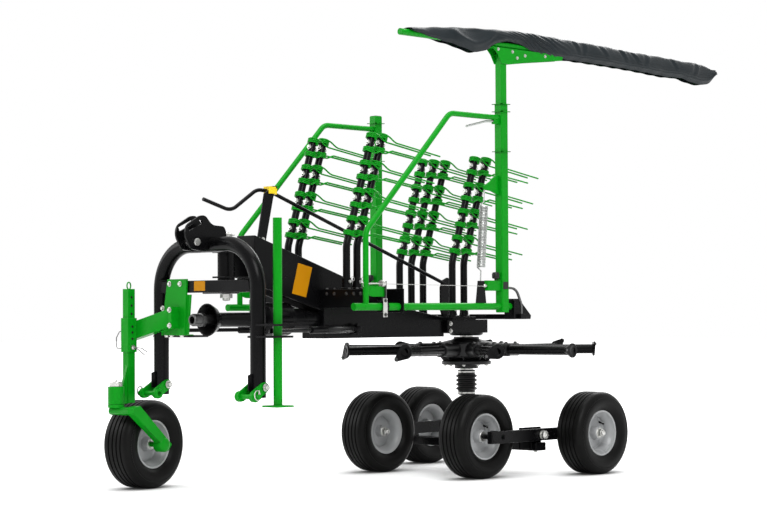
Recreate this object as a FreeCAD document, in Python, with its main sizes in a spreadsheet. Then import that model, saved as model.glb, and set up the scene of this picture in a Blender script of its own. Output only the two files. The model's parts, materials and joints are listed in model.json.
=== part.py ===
import FreeCAD, Part
import math
import os
import re
import Sketcher

# Single rotor hay rake, trailed, with the tine arms stowed in their racks and both guards folded up.
# +X is the machine's left, +Y its rear and +Z up. The ground is z = 0, and places along Y are counted
# from the rotor column, which column_y puts behind the middle of the machine.
# Tubes, tyres, stubs and tine coils that repeat are drawn with flat sides, to keep the model light.

SIZES = {
    # frame and rotor column
    "column_y": 190, "column_radius": 32.5, "column_low": 163,
    "arm_half_width": 62, "beam_front_y": -1510, "beam_front_top": 1168, "beam_front_low": 945,
    "beam_knee_y": -880, "beam_knee_top": 964, "beam_knee_low": 760,
    "box_half_width": 75, "box_front_y": -1085, "box_front_top": 919, "box_rear_y": -250,
    "box_rear_top": 786, "box_low": 690,
    "frame_half_width": 100, "frame_front_y": -250, "frame_rear_y": 52, "frame_low": 706,
    "frame_top": 773, "frame_wall": 12, "gear_case_radius": 86, "gear_case_low": 692,
    # headstock and its pivot
    "pivot_y": -1630, "pivot_radius": 40, "pivot_low": 915, "pivot_top": 1139, "pin_radius": 17.5,
    "flange_low": 971, "flange_high": 1085, "flange_thick": 8,
    "fork_plate": 14, "pivot_gap": 1, "fork_half_width": 70,
    "hoop_half_width": 330, "hoop_y": -1737, "hoop_radius": 35, "hoop_low": 440, "hoop_top": 1120,
    "hoop_bend": 200, "cross_low": 905, "cross_top": 960, "cross_depth": 50,
    # wheels
    "tyre_radius": 205, "tyre_width": 165, "tread_width": 118, "sidewall_radius": 158,
    "rim_radius": 105, "rim_width": 116, "rim_lip": 8, "hub_radius": 27, "axle_radius": 12.5,
    "front_track": 335, "rear_track": 579, "front_axle_y": -304, "rear_axle_y": 298,
    "bogie_x": 450, "bogie_width": 30, "bogie_low": 172, "bogie_top": 232, "bogie_pivot_y": 44,
    "bogie_pivot_z": 201, "bogie_pin": 16, "cross_tube_front": -8, "cross_tube_rear": 69,
    "cross_tube_low": 123, "bracket_thick": 14,
    # rotor
    "hub_low": 524, "hub_top": 684, "rotor_hub_radius": 140, "hub_flange_radius": 126,
    "running_gap": 0.5, "stub_count": 9, "sleeve_radius": 33, "sleeve_end": 270, "stub_radius": 24,
    "stub_bore": 17, "stub_bore_depth": 60, "stub_z": 620, "stub_tip": 655, "first_stub": 5,
    "stub_flange": 12, "stub_flange_thick": 10, "ear_width": 20, "ear_reach": 34,
    "ear_height": 8, "bellows_radius": 55, "bellows_low": 390, "bellows_top": 517, "bellows_pleats": 4,
    # tine arms
    "tine_arm_radius": 17.5, "front_arm_foot": 207, "rear_arm_foot": 270, "arm_high_length": 560,
    "arm_bend": 18.4, "arm_bend_radius": 60, "tine_pitch": 140, "first_coil": 15, "coil_radius": 26,
    "coil_width": 28, "coil_spacing": 66, "tine_pairs": 4, "tine_wire": 8, "tine_length": 385,
    "tine_step": 70, "tine_hump": 40, "tine_rise": 66,
    "front_arm_x": 200, "front_arm_y": -1058, "front_arm_step": 69,
    "rear_arm_x": 140, "rear_arm_y": -344, "rear_arm_step": 86,
    "carrier_low": 833, "carrier_top": 921, "carrier_front_y": -1100, "carrier_rear_y": -950,
    "carrier_end": 353, "rack_thick": 15,
    # guards
    "guard_x": 430, "guard_z": 838, "guard_front_y": -1193, "guard_rear_y": -214,
    "guard_tube": 17, "guard_frame_tube": 13.5, "guard_knee_z": 1182, "guard_top_y": -588,
    "guard_top_z": 1761, "post_side": 48, "post_top": 1830, "rear_bar_y": -54, "rear_bar_depth": 40,
    "rear_bar_low": 775, "rear_bar_top": 800, "ear_thick": 8,
    "curtain_post_side": 40, "post_to_bar": 45, "curtain_bar_z": 2120, "curtain_front_y": -930,
    "curtain_rear_y": 1570, "curtain_drop": 130, "curtain_bar_radius": 16, "curtain_thick": 5,
    "hinge_overhang": 50, "rear_ear_y": 54, "guard_foot_inset": 30, "guard_bend": 70,
    "post_foot_drop": 30, "arm_pocket_low": 400, "curtain_arm_low": 600, "curtain_inset": 30,
    "bar_bracket_thick": 8,
    # assist spring, with places counted from the post and the hinge of the guard
    "spring_radius": 22, "spring_wire": 4, "spring_high_y": -133, "spring_high_z": 487,
    "spring_low_y": -156, "spring_low_z": 190, "wire_high_y": -127, "wire_high_z": 575,
    "wire_low_y": -161, "wire_low_z": 118, "spring_hook_y": -150, "spring_hook_low": 560,
    "spring_hook_top": 600, "spring_hook_half": 6,
    # hitch and upper link
    "link_x": 27, "link_plate": 10, "link_pin_y": -1840, "link_pin_z": 1130, "link_bore": 12.9,
    "link_slot_y": -1885, "link_slot_z": 1187, "link_slot_run": 80, "link_slot_rise": 36,
    "lug_plate": 10, "lug_radius": 24, "lug_bolt_y": -1737, "lug_bolt_z": 486, "lug_pin_y": -1801,
    "lug_pin_z": 447, "lug_pin_radius": 11, "lug_pin_reach": 36,
    # support wheel
    "post_x": -450, "post_y": -1832, "support_post_side": 40, "support_post_low": 400,
    "support_post_top": 926, "sleeve_low": 634, "sleeve_top": 792, "sleeve_wall": 6,
    "slide_gap": 0.3, "plate_thick": 10, "plate_low": 716, "plate_top": 968, "arm_height": 83,
    "arm_root_top": 834, "arm_end_top": 768, "arm_root_x": -185,
    "front_plate_top_far": -246, "front_plate_top_near": -110, "front_plate_low_far": -292,
    "front_plate_low_near": -125, "back_plate_thick": 8, "back_plate_top_far": -215,
    "back_plate_top_near": -93, "back_plate_low_far": -240, "back_plate_low_near": -112,
    "castor_x": -444, "castor_y": -1912, "castor_turn": 9, "castor_trail": 190,
    "castor_low": 397, "castor_top": 478, "castor_radius": 38, "castor_pin": 12,
    "fork_x": 112, "fork_bar": 38, "fork_bar_z": 366,
    # parking stand
    "stand_x": 407, "stand_y": -1690, "stand_radius": 20, "stand_low": 400, "stand_top": 1230,
    "stand_foot": 100, "guide_low": 703, "guide_top": 755, "guide_thick": 9,
    # stabilising struts
    "strut_front_x": 352, "strut_front_y": -1658, "strut_z": 733, "strut_rear_x": 100,
    "strut_rear_y": -890, "strut_barrel": 17, "strut_rod": 9, "strut_pin": 8, "strut_drift": 9.5,
    "strut_eye": 25, "barrel_eye_half": 12, "rod_eye_half": 10, "strut_lug_half": 24,
    "strut_lug_high": 13, "strut_lug_low": -21, "strut_lug_thick": 8, "strut_pin_half": 28,
    # drive line and crank
    "drive_z": 782, "drive_tip_y": -1834, "cone_rim_y": -1745, "cone_radius": 74,
    "guard_tube_radius": 33, "bell_front_y": -1420, "bell_rear_y": -1262, "bell_radius": 78,
    "neck_radius": 50, "drive_end_y": -1000, "drive_wall": 7, "input_bore": 17.5, "input_depth": 60,
    "crank_rod": 9, "crank_arm_x": 45, "crank_end_y": -159, "crank_end_z": 954,
    "crank_holder_y": -1370, "crank_holder_z": 1382, "crank_tip_y": -1767, "crank_tip_z": 1326,
    "crank_drop": 48, "crank_hook_y": -1600, "crank_bend": 25, "stay_thick": 8, "stay_foot_drop": 300,
    "stay_foot_front": 127, "stay_foot_rear": 77, "holder_half": 15, "holder_below": 22,
    "holder_above": 16, "upright_thick": 12, "upright_radius": 50,
}

doc = FreeCAD.newDocument("HayRake")
sizes = doc.addObject("Spreadsheet::Sheet", "Sizes")
for line, (name, value) in enumerate(SIZES.items(), start=1):
    sizes.set(f"A{line}", name.replace("_", " "))
    sizes.set(f"B{line}", str(value))
    sizes.setAlias(f"B{line}", name)
doc.recompute()

nodes = []


def formula(text):
    """An expression in which each size's name is looked up in the sheet."""
    def look_up(word):
        return f"Sizes.{word.group(0)}" if word.group(0) in SIZES else word.group(0)
    return re.sub(r"[a-z_][a-z_0-9]*", look_up, str(text))


def size(text):
    """The value of an expression, as a number."""
    return float(sizes.evalExpression(formula(text)))


def point(x, y, z):
    return FreeCAD.Vector(size(x), size(y), size(z))


def bind(obj, **expressions):
    for prop, text in expressions.items():
        obj.setExpression(prop, formula(text))
    return obj


def place(obj, x, y, z, turn="rotation(vector(0; 0; 1); 0)", base="column_y"):
    """Bind an object's place, with y counted from the rotor column or from another base."""
    obj.setExpression("Placement", formula(f"placement(vector({x}; {y} + {base}; {z}); {turn})"))
    return obj


def keep(obj, label):
    """Name a finished sub-part, which is then exported under that name."""
    obj.Label = label
    nodes.append(obj)
    return obj


def box(x0, x1, y0, y1, z0, z1, base="column_y"):
    solid = doc.addObject("Part::Box", "Box")
    bind(solid, Length=f"{x1} - ({x0})", Width=f"{y1} - ({y0})", Height=f"{z1} - ({z0})")
    return place(solid, x0, y0, z0, base=base)


def bar(radius, length, sides):
    """A round bar, or one of flat sides inside the same circle."""
    if not sides:
        return bind(doc.addObject("Part::Cylinder", "Bar"), Radius=radius, Height=length)
    solid = doc.addObject("Part::Prism", "Bar")
    solid.Polygon = sides
    return bind(solid, Circumradius=radius, Height=length)


TURNS = {
    "x": "rotation(vector(0; 1; 0); 90)",
    "y": "rotation(vector(1; 0; 0); -90)",
    "z": "rotation(vector(0; 0; 1); 0)",
}


def rod(axis, radius, start, length, x, y, z, sides=0, base="column_y"):
    """A bar along a row axis. The coordinate on that axis is counted from start."""
    shift = {"x": x, "y": y, "z": z}
    shift[axis] = f"{shift[axis]} + ({start})"
    return place(bar(radius, length, sides), shift["x"], shift["y"], shift["z"], TURNS[axis], base)


def hole(axis, radius, start, length, x, y, z, sides=12, base="column_y"):
    """A flat-sided hole that a round bar of the given radius just fits."""
    return rod(axis, f"({radius}) / cos(180 / {sides})", start, length, x, y, z, sides, base)


def strut(radius, start, end, sides=0, base="column_y"):
    """A bar between two points."""
    run = [f"({b}) - ({a})" for a, b in zip(start, end)]
    length = f"sqrt(({run[0]})^2 + ({run[1]})^2 + ({run[2]})^2)"
    turn = f"rotation(vector(0; 0; 1); vector({run[0]}; {run[1]}; {run[2]}))"
    return place(bar(radius, length, sides), *start, turn, base)


def fuse(*parts):
    solid = doc.addObject("Part::MultiFuse", "Fuse")
    solid.Shapes = list(parts)
    return solid


def cut(base, *tools):
    solid = doc.addObject("Part::Cut", "Cut")
    solid.Base = base
    solid.Tool = tools[0] if len(tools) == 1 else fuse(*tools)
    return solid


PLANES = {"x": "YZ_Plane", "y": "XZ_Plane", "z": "XY_Plane"}


def sketch_on(body, plane):
    sketch = body.newObject("Sketcher::SketchObject", "Sketch")
    face = next(item for item in body.Origin.OriginFeatures if item.Role == plane)
    sketch.AttachmentSupport = [(face, "")]
    sketch.MapMode = "FlatFace"
    return sketch


def pin_down(sketch, item, end, place_x, place_y):
    """Tie a sketch point to its two coordinates, as expressions of the sheet."""
    for kind, text in (("DistanceX", place_x), ("DistanceY", place_y)):
        mark = sketch.addConstraint(Sketcher.Constraint(kind, -1, 1, item, end, size(text)))
        sketch.setExpression(f"Constraints[{mark}]", formula(text))


def draw(sketch, outline, holes=()):
    """A closed outline of straight sides, and round holes given as (x, y, radius)."""
    corners = [FreeCAD.Vector(size(x), size(y), 0) for x, y in outline]
    count = len(corners)
    for index, corner in enumerate(corners):
        sketch.addGeometry(Part.LineSegment(corner, corners[(index + 1) % count]), False)
    for index in range(count):
        sketch.addConstraint(Sketcher.Constraint("Coincident", index, 2, (index + 1) % count, 1))
    for index, (x, y) in enumerate(outline):
        pin_down(sketch, index, 1, x, y)
    for index, (x, y, radius) in enumerate(holes, start=count):
        centre = FreeCAD.Vector(size(x), size(y), 0)
        sketch.addGeometry(Part.Circle(centre, FreeCAD.Vector(0, 0, 1), size(radius)), False)
        pin_down(sketch, index, 3, x, y)
        mark = sketch.addConstraint(Sketcher.Constraint("Radius", index, size(radius)))
        sketch.setExpression(f"Constraints[{mark}]", formula(radius))


def plate(axis, low, thick, outline, holes=(), base="column_y"):
    """A flat plate square to a row axis. Outline coordinates are the other two, in X, Y, Z order."""
    body = doc.addObject("PartDesign::Body", "Plate")
    sketch = sketch_on(body, PLANES[axis])
    draw(sketch, outline, holes)
    pad = body.newObject("PartDesign::Pad", "Pad")
    pad.Profile = sketch
    bind(pad, Length=thick)
    shift = {"x": "0", "y": "0", "z": "0"}
    shift[axis] = f"({low}) + ({thick})" if axis == "y" else low
    return place(body, shift["x"], shift["y"], shift["z"], base=base)


def link_outline(first, second, radius, corners=5):
    """A flat link about two points, whose round ends have straight sides."""
    rise = size(second[1]) - size(first[1])
    run = size(second[0]) - size(first[0])
    aim = math.atan2(rise, run)
    outline = []
    for (across, up), start in ((first, aim + math.pi / 2), (second, aim - math.pi / 2)):
        for index in range(corners):
            turn = start + math.pi * index / (corners - 1)
            outline.append((f"{across} + ({radius}) * ({math.cos(turn):.6f})",
                            f"{up} + ({radius}) * ({math.sin(turn):.6f})"))
    return outline


# Solids of flat faces: a section, or ring of corners, is carried along a path or an axis.

def section(centre, along, across, radius, sides):
    """Corners of a polygon square to a run, whose flats lie at the radius."""
    up = along.cross(across)
    reach = radius / math.cos(math.pi / sides)
    turns = [2 * math.pi * (index + 0.5) / sides for index in range(sides)]
    return [centre + (across * math.cos(turn) + up * math.sin(turn)) * reach for turn in turns]


def flat(corners):
    return Part.Face(Part.makePolygon(corners + corners[:1]))


def skin(rings, closed=False):
    """A solid with flat faces between each ring of corners and the next."""
    faces = [] if closed else [flat(rings[0]), flat(rings[-1])]
    for low, high in zip(rings, rings[1:] + (rings[:1] if closed else [])):
        for index, corner in enumerate(low):
            beside = (index + 1) % len(low)
            faces.append(flat([corner, low[beside], high[beside], high[index]]))
    shell = Part.Shell(faces)
    shell.sewShape()
    solid = Part.Solid(shell)
    if solid.Volume < 0:
        solid.reverse()
    return solid


def bent_rings(points, across, radius, sides):
    """Sections along straight runs, mitred where they turn."""
    runs = [(after - before).normalize() for before, after in zip(points, points[1:])]
    ring = section(points[0], runs[0], across, radius, sides)
    rings = [ring]
    for corner, before, after in zip(points[1:], runs, runs[1:] + runs[-1:]):
        square = (before + after).normalize()
        ring = [dot + before * ((corner - dot).dot(square) / before.dot(square)) for dot in ring]
        rings.append(ring)
    return rings


def eased(points, radius, steps):
    """The path with each inner corner swapped for the chords of an arc."""
    path = points[:1]
    for before, corner, after in zip(points, points[1:], points[2:]):
        arriving = (corner - before).normalize()
        leaving = (after - corner).normalize()
        turn = arriving.getAngle(leaving)
        entry = corner - arriving * radius * math.tan(turn / 2)
        inward = (leaving - arriving * leaving.dot(arriving)).normalize()
        for index in range(steps + 1):
            angle = turn * index / steps
            path.append(entry + arriving * radius * math.sin(angle)
                        + inward * radius * (1 - math.cos(angle)))
    return path + points[-1:]


def bent_tube(points, across, bend, radius, sides, steps):
    return skin(bent_rings(eased(points, bend, steps), across, radius, sides))


def lathe(outline, sides, closed=False):
    """A solid of flat faces about Z, from an outline of (radius, height) as expressions."""
    across = FreeCAD.Vector(1, 0, 0)
    along = FreeCAD.Vector(0, 0, 1)
    rings = [section(along * size(height), along, across, size(radius), sides)
             for radius, height in outline]
    return skin(rings, closed)


def shaped(shape, x="0", y="0", z="0", turn="rotation(vector(0; 0; 1); 0)", base="column_y"):
    """A part whose shape is worked out here from the sheet's values."""
    part = doc.addObject("Part::Feature", "Shaped")
    part.Shape = shape
    return place(part, x, y, z, turn, base)


def both_sides(low, high):
    """The x limits of a piece on the left, and of its mirror image on the right."""
    return (low, high), (f"-({high})", f"-({low})")


# Frame: beam, gear housing, column and walking beams.

GUARD_SIDES = 16


def main_beam():
    arm = plate("x", "-arm_half_width", "arm_half_width * 2", [
        ("beam_front_y", "beam_front_low"), ("beam_knee_y", "beam_knee_low"),
        ("beam_knee_y", "beam_knee_top"), ("beam_front_y", "beam_front_top")])
    rear_box = plate("x", "-box_half_width", "box_half_width * 2", [
        ("box_front_y", "box_low"), ("box_rear_y", "box_low"), ("box_rear_y", "box_rear_top"),
        ("box_front_y", "box_front_top")])
    tunnel = shaped(lathe([("neck_radius + slide_gap", "bell_rear_y"),
                           ("neck_radius + slide_gap", "drive_end_y")], GUARD_SIDES),
                    z="drive_z", turn=TURNS["y"])
    return keep(cut(fuse(arm, rear_box), tunnel), "main_beam")


def pivot_barrel():
    """The barrel that the headstock swings on, and the flanges that join it to the beam."""
    barrel = rod("z", "pivot_radius", "pivot_low", "pivot_top - pivot_low", "0", "pivot_y", "0", 12)
    flanges = [box("-pivot_radius - 5", "pivot_radius + 5", "pivot_y - pivot_radius - 5", "beam_front_y",
                   level, f"{level} + flange_thick") for level in ("flange_low", "flange_high")]
    web = box("-flange_thick / 2", "flange_thick / 2", "pivot_y", "beam_front_y",
              "flange_low", "flange_high")
    bore = hole("z", "pin_radius + running_gap / 10", "pivot_low", "pivot_top - pivot_low",
                "0", "pivot_y", "0")
    keep(cut(fuse(barrel, web, *flanges), bore), "pivot_barrel")


def gear_housing():
    outer = box("-frame_half_width", "frame_half_width", "frame_front_y", "frame_rear_y",
                "frame_low", "frame_top")
    inner = box("-frame_half_width + frame_wall", "frame_half_width - frame_wall",
                "frame_front_y + frame_wall", "frame_rear_y + 1", "frame_low - 1",
                "frame_top - frame_wall")
    keep(cut(outer, inner), "beam_end_frame")
    case = rod("z", "gear_case_radius", "gear_case_low", "frame_top - frame_wall - gear_case_low",
               "0", "0", "0", 20)
    keep(case, "gear_case")


def column():
    tube = rod("z", "column_radius", "column_low", "gear_case_low - column_low", "0", "0", "0", 16)
    keep(tube, "rotor_column")
    waist = "(bellows_radius + column_radius) / 2"
    pleat = "(bellows_top - bellows_low) / (bellows_pleats + 2)"
    outline = [(waist, "bellows_low"), (waist, f"bellows_low + {pleat}")]
    for index in range(int(size("bellows_pleats"))):
        outline.append(("bellows_radius", f"bellows_low + {pleat} * {index + 1.5}"))
        outline.append((waist, f"bellows_low + {pleat} * {index + 2}"))
    outline += [(waist, "bellows_top"), ("column_radius + slide_gap", "bellows_top"),
                ("column_radius + slide_gap", "bellows_low")]
    keep(shaped(lathe(outline, 12, closed=True)), "column_bellows")
    return tube


def axle_beam(column_tube):
    """The cross tube, the socket of the column, and a bracket and pin for each walking beam."""
    reach = "bogie_x - bogie_width / 2"
    tube = box(f"-({reach}) - bogie_width", f"{reach} + bogie_width", "cross_tube_front",
               "cross_tube_rear", "cross_tube_low", "column_low")
    brackets = [box(*limits, "cross_tube_front - 80", "cross_tube_rear", "cross_tube_low + 8",
                    "bogie_top + 8")
                for limits in both_sides(f"{reach} - running_gap - bracket_thick", f"{reach} - running_gap")]
    pins = [rod("x", "bogie_pin", start, "bracket_thick + bogie_width + 18", "0", "bogie_pivot_y",
                "bogie_pivot_z", 12)
            for start in (f"{reach} - bracket_thick", f"-({reach}) - bogie_width - 18")]
    socket = rod("z", "column_radius + 12", "column_low - 20", "60", "0", "0", "0", 16)
    keep(cut(fuse(tube, socket, *brackets, *pins), column_tube), "axle_beam")


def bogie(side, sign):
    """A walking beam with an axle at each end, the front one inboard, the rear one outboard."""
    half = "bogie_width / 2"
    outline = [
        ("front_axle_y - 34", "bogie_low"), ("rear_axle_y + 34", "bogie_low"),
        ("rear_axle_y + 34", "bogie_top"), ("front_axle_y - 34", "bogie_top"),
    ]
    beam = plate("x", f"{sign} * bogie_x - {half}", "bogie_width", outline)
    far = "front_track - rim_width / 2 - 12"
    front = f"({far})" if sign > 0 else f"-bogie_x + {half}"
    front_stub = rod("x", "axle_radius", front, f"bogie_x - {half} - ({far})",
                     "0", "front_axle_y", "tyre_radius", 12)
    near = f"bogie_x + {half}"
    reach = "rear_track + rim_width / 2 + 12"
    rear = f"({near})" if sign > 0 else f"-({reach})"
    rear_stub = rod("x", "axle_radius", rear, f"{reach} - ({near})", "0", "rear_axle_y", "tyre_radius", 12)
    pivot = rod("x", "bogie_pin", f"{sign} * bogie_x - {half} - 1", "bogie_width + 2", "0",
                "bogie_pivot_y", "bogie_pivot_z", 12)
    keep(cut(fuse(beam, front_stub, rear_stub), pivot), f"{side}_bogie_beam")


# Wheels, drawn about Z and turned onto their axles.

ALONG_X = "rotation(vector(0; 1; 0); 90)"
AGAINST_X = "rotation(vector(0; 1; 0); -90)"
WHEEL_SIDES = 24


def wheel_shapes():
    """A tyre and a rim with its hub. The dish of the rim opens upwards."""
    half = "rim_width / 2"
    edge = [("rim_radius", half), ("sidewall_radius", "tyre_width / 2"),
            ("tyre_radius", "tread_width / 2")]
    edge += [(radius, f"-({height})") for radius, height in reversed(edge)]
    tyre = lathe(edge, WHEEL_SIDES, closed=True)
    rim = lathe([
        ("rim_radius", f"-{half}"), ("rim_radius", half), ("rim_radius - rim_lip", f"{half} - 4"),
        ("rim_radius * 0.76", "0"), ("hub_radius + 5", "0"), ("hub_radius", f"{half} - 16"),
    ], WHEEL_SIDES)
    bore = Part.makeCylinder(size("axle_radius + running_gap / 10"), size("rim_width + 2"))
    bore.translate(FreeCAD.Vector(0, 0, -size(f"{half} + 1")))
    return tyre, rim.cut(bore)


def wheel(shapes, name, x, y, turn):
    for shape, part in zip(shapes, ("tyre", "rim")):
        keep(shaped(shape, x, y, "tyre_radius", turn), f"{name}_{part}")


# Rotor: a casting with a flat for each stub, and the stubs that take the tine arms.

STUB_SIDES = 8


def rotor():
    bore = Part.makeCylinder(size("column_radius + running_gap"), size("hub_top"))
    hub = lathe([
        ("column_radius + 28", "hub_low"), ("column_radius + 28", "hub_low + 19"),
        ("hub_flange_radius", "hub_low + 19"), ("hub_flange_radius", "hub_low + 51"),
        ("rotor_hub_radius", "stub_z - sleeve_radius - 4"),
        ("rotor_hub_radius", "stub_z + sleeve_radius + 4"), ("column_radius + 35", "hub_top"),
    ], int(size("stub_count"))).cut(bore)
    keep(shaped(hub, turn="rotation(vector(0; 0; 1); first_stub)"), "rotor_hub")
    tube = lathe([
        ("sleeve_radius", "rotor_hub_radius"), ("sleeve_radius", "sleeve_end"),
        ("stub_radius", "sleeve_end + 10"), ("stub_radius", "stub_tip - stub_flange_thick"),
        ("stub_radius + stub_flange", "stub_tip - stub_flange_thick"),
        ("stub_radius + stub_flange", "stub_tip"),
    ], STUB_SIDES)
    ear = Part.makeBox(size("ear_width"), size("stub_radius + ear_reach"), size("ear_height"))
    ear.translate(FreeCAD.Vector(size("-ear_width / 2"), 0, size("stub_tip - ear_height - 1")))
    bore = lathe([("stub_bore", "stub_tip - stub_bore_depth"), ("stub_bore", "stub_tip + 1")],
                 STUB_SIDES)
    stub = tube.fuse(ear).cut(bore)
    stub.rotate(FreeCAD.Vector(), FreeCAD.Vector(0, 1, 0), 90)
    count = int(size("stub_count"))
    stubs = [stub.rotated(FreeCAD.Vector(), FreeCAD.Vector(0, 0, 1), size("first_stub") + 360 * index / count)
             for index in range(count)]
    keep(shaped(Part.makeCompound(stubs), z="stub_z"), "rotor_stubs")


# Tine arms in their racks.

ARM_SIDES = 6
WIRE_SIDES = 3


def tine_finger(centre, along, back, low, reach):
    """One finger: it leaves the side of its coil, humps up, and runs straight back."""
    aside = FreeCAD.Vector(1, 0, 0)
    root = centre + aside * (size("coil_radius") - 10) + back * size("coil_radius - 14") + along * low
    hump = centre + aside * size("coil_radius + 9") + back * size("coil_radius + 38") + along * (
        low + size("tine_hump"))
    end = hump + back * (reach - size("coil_radius + 38")) + along * size("tine_rise - tine_hump")
    first = (hump - root).normalize()
    return skin(bent_rings([root, hump, end], first.cross(along).normalize(), size("tine_wire / 2"),
                           WIRE_SIDES))


def tine_arm(foot):
    """An arm from its foot to its tip, standing at the origin, with pairs of spring tines behind it."""
    bend = math.radians(size("arm_bend"))
    along = FreeCAD.Vector(0, math.sin(bend), math.cos(bend))
    back = FreeCAD.Vector(0, math.cos(bend), -math.sin(bend))
    across = FreeCAD.Vector(1, 0, 0)
    tube = size("tine_arm_radius")
    knee = FreeCAD.Vector(0, 0, size(foot))
    tip = knee + along * size("arm_high_length")
    path = eased([FreeCAD.Vector(), knee, tip], size("arm_bend_radius"), 1)
    rings = bent_rings(path, across, tube, ARM_SIDES)[:-1]
    half = size("coil_width / 2")
    coils = []
    for pair in range(int(size("tine_pairs"))):
        for second in (0, 1):
            depth = size("first_coil") + pair * size("tine_pitch") + second * size("coil_spacing")
            coils.append((tip - along * depth, second))
    for centre, _ in reversed(coils):
        for shift, radius in ((-half, tube), (0, size("coil_radius")), (half, tube)):
            rings.append(section(centre + along * shift, along, across, radius, ARM_SIDES))
    rings.append(section(tip, along, across, tube, ARM_SIDES))
    fingers = []
    for centre, second in coils:
        low = half * (0.6 if second else -0.6)
        reach = size("tine_length") - second * size("tine_step")
        fingers.append(tine_finger(centre, along, back, low, reach))
    return skin(rings).fuse(fingers)


def stowed_arms(name, arm, x, first_y, step, low, count):
    copies = [arm.translated(FreeCAD.Vector(0, index * size(step), 0)) for index in range(count)]
    keep(shaped(Part.makeCompound(copies), x, first_y, low), name)


def racks(beam):
    """A carrier across the beam for the front arms, and plates on the end frame for the rear ones."""
    carrier = box("-carrier_end", "carrier_end", "carrier_front_y", "carrier_rear_y",
                  "carrier_low", "carrier_top")
    keep(cut(carrier, beam), "front_arm_rack")
    margin = "rear_arm_step / 2"
    last = "rear_arm_y + rear_arm_step * 2"
    left, right = both_sides("frame_half_width - 12", "rear_arm_x + 42")
    shelves = [box(*limits, f"{first} - {margin}", f"{last} + {margin}", "frame_top",
                   "frame_top + rack_thick")
               for limits, first in ((left, "rear_arm_y + rear_arm_step"), (right, "rear_arm_y"))]
    keep(fuse(*shelves), "rear_arm_rack")


def stowed():
    front = tine_arm("front_arm_foot")
    rear = tine_arm("rear_arm_foot")
    for side, sign in (("left", ""), ("right", "-")):
        stowed_arms(f"{side}_front_arms", front, f"{sign}front_arm_x", "front_arm_y",
                    "front_arm_step", "carrier_top", 2)
    stowed_arms("left_rear_arms", rear, "rear_arm_x", "rear_arm_y + rear_arm_step",
                "rear_arm_step", "frame_top + rack_thick", 2)
    stowed_arms("right_rear_arms", rear, "-rear_arm_x", "rear_arm_y", "rear_arm_step",
                "frame_top + rack_thick", 3)


# Headstock, which swings about the pivot pin.

def headstock():
    low = point("-hoop_half_width", "hoop_y", "hoop_low")
    high = point("-hoop_half_width", "hoop_y", "hoop_top")
    mirror = FreeCAD.Vector(-2 * low.x, 0, 0)
    hoop = shaped(bent_tube([low, high, high + mirror, low + mirror], FreeCAD.Vector(0, 1, 0),
                            size("hoop_bend"), size("hoop_radius"), 16, 4))
    keep(hoop, "headstock_hoop")
    cross = box("-hoop_half_width", "hoop_half_width", "hoop_y - cross_depth / 2",
                "hoop_y + cross_depth / 2", "cross_low", "cross_top")
    keep(cut(cross, hoop), "headstock_crossbar")
    top = "pivot_top + pivot_gap"
    rear = "pivot_y + pivot_radius + 8"
    upper = plate("z", top, "fork_plate", [
        ("-fork_half_width", "hoop_y"), ("fork_half_width", "hoop_y"),
        ("fork_half_width", "pivot_y"), ("fork_half_width / 2", rear),
        ("-fork_half_width / 2", rear), ("-fork_half_width", "pivot_y")])
    lower = plate("z", "pivot_low - pivot_gap - fork_plate", "fork_plate", [
        ("-fork_half_width", "hoop_y + cross_depth / 2"), ("fork_half_width", "hoop_y + cross_depth / 2"),
        ("fork_half_width", "pivot_y"), ("fork_half_width / 2", rear),
        ("-fork_half_width / 2", rear), ("-fork_half_width", "pivot_y")])
    pin = rod("z", "pin_radius", "pivot_low - pivot_gap - fork_plate - 32",
              "pivot_top - pivot_low + 2 * (pivot_gap + fork_plate) + 58", "0", "pivot_y", "0")
    through = hole("z", "pin_radius", "pivot_low - 40", "pivot_top - pivot_low + 80", "0", "pivot_y", "0")
    keep(cut(fuse(upper, lower), through, hoop), "pivot_fork")
    keep(pin, "pivot_pin")
    return hoop


def upper_link(hoop):
    """Two plates welded over the hoop, with the top link's hole and a long slot."""
    outline = [
        ("link_pin_y - 65", "link_pin_z + 30"), ("link_pin_y - 57", "link_pin_z + 74"),
        ("link_pin_y + 25", "link_pin_z + 120"), ("link_pin_y + 55", "link_pin_z + 120"),
        ("hoop_y - 8", "hoop_top + 88"), ("hoop_y + 62", "hoop_top + 84"),
        ("hoop_y + 76", "hoop_top + 60"), ("hoop_y + 76", "hoop_top + hoop_radius + 1"),
        ("hoop_y", "hoop_top + hoop_radius + 1"), ("hoop_y - 10", "hoop_top - 20"),
        ("link_pin_y + 30", "link_pin_z - 38"), ("link_pin_y - 30", "link_pin_z - 34"),
    ]
    slot = plate("x", "-link_x - link_plate - 1", "2 * (link_x + link_plate + 1)", [
        ("link_slot_y + 4", "link_slot_z - 9"),
        ("link_slot_y + link_slot_run + 4", "link_slot_z + link_slot_rise - 9"),
        ("link_slot_y + link_slot_run - 4", "link_slot_z + link_slot_rise + 9"),
        ("link_slot_y - 4", "link_slot_z + 9")])
    plates = [plate("x", low, "link_plate", outline, [("link_pin_y", "link_pin_z", "link_bore")])
              for low in ("link_x", "-link_x - link_plate")]
    keep(cut(fuse(*plates), slot, hoop), "upper_link_plates")


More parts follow.
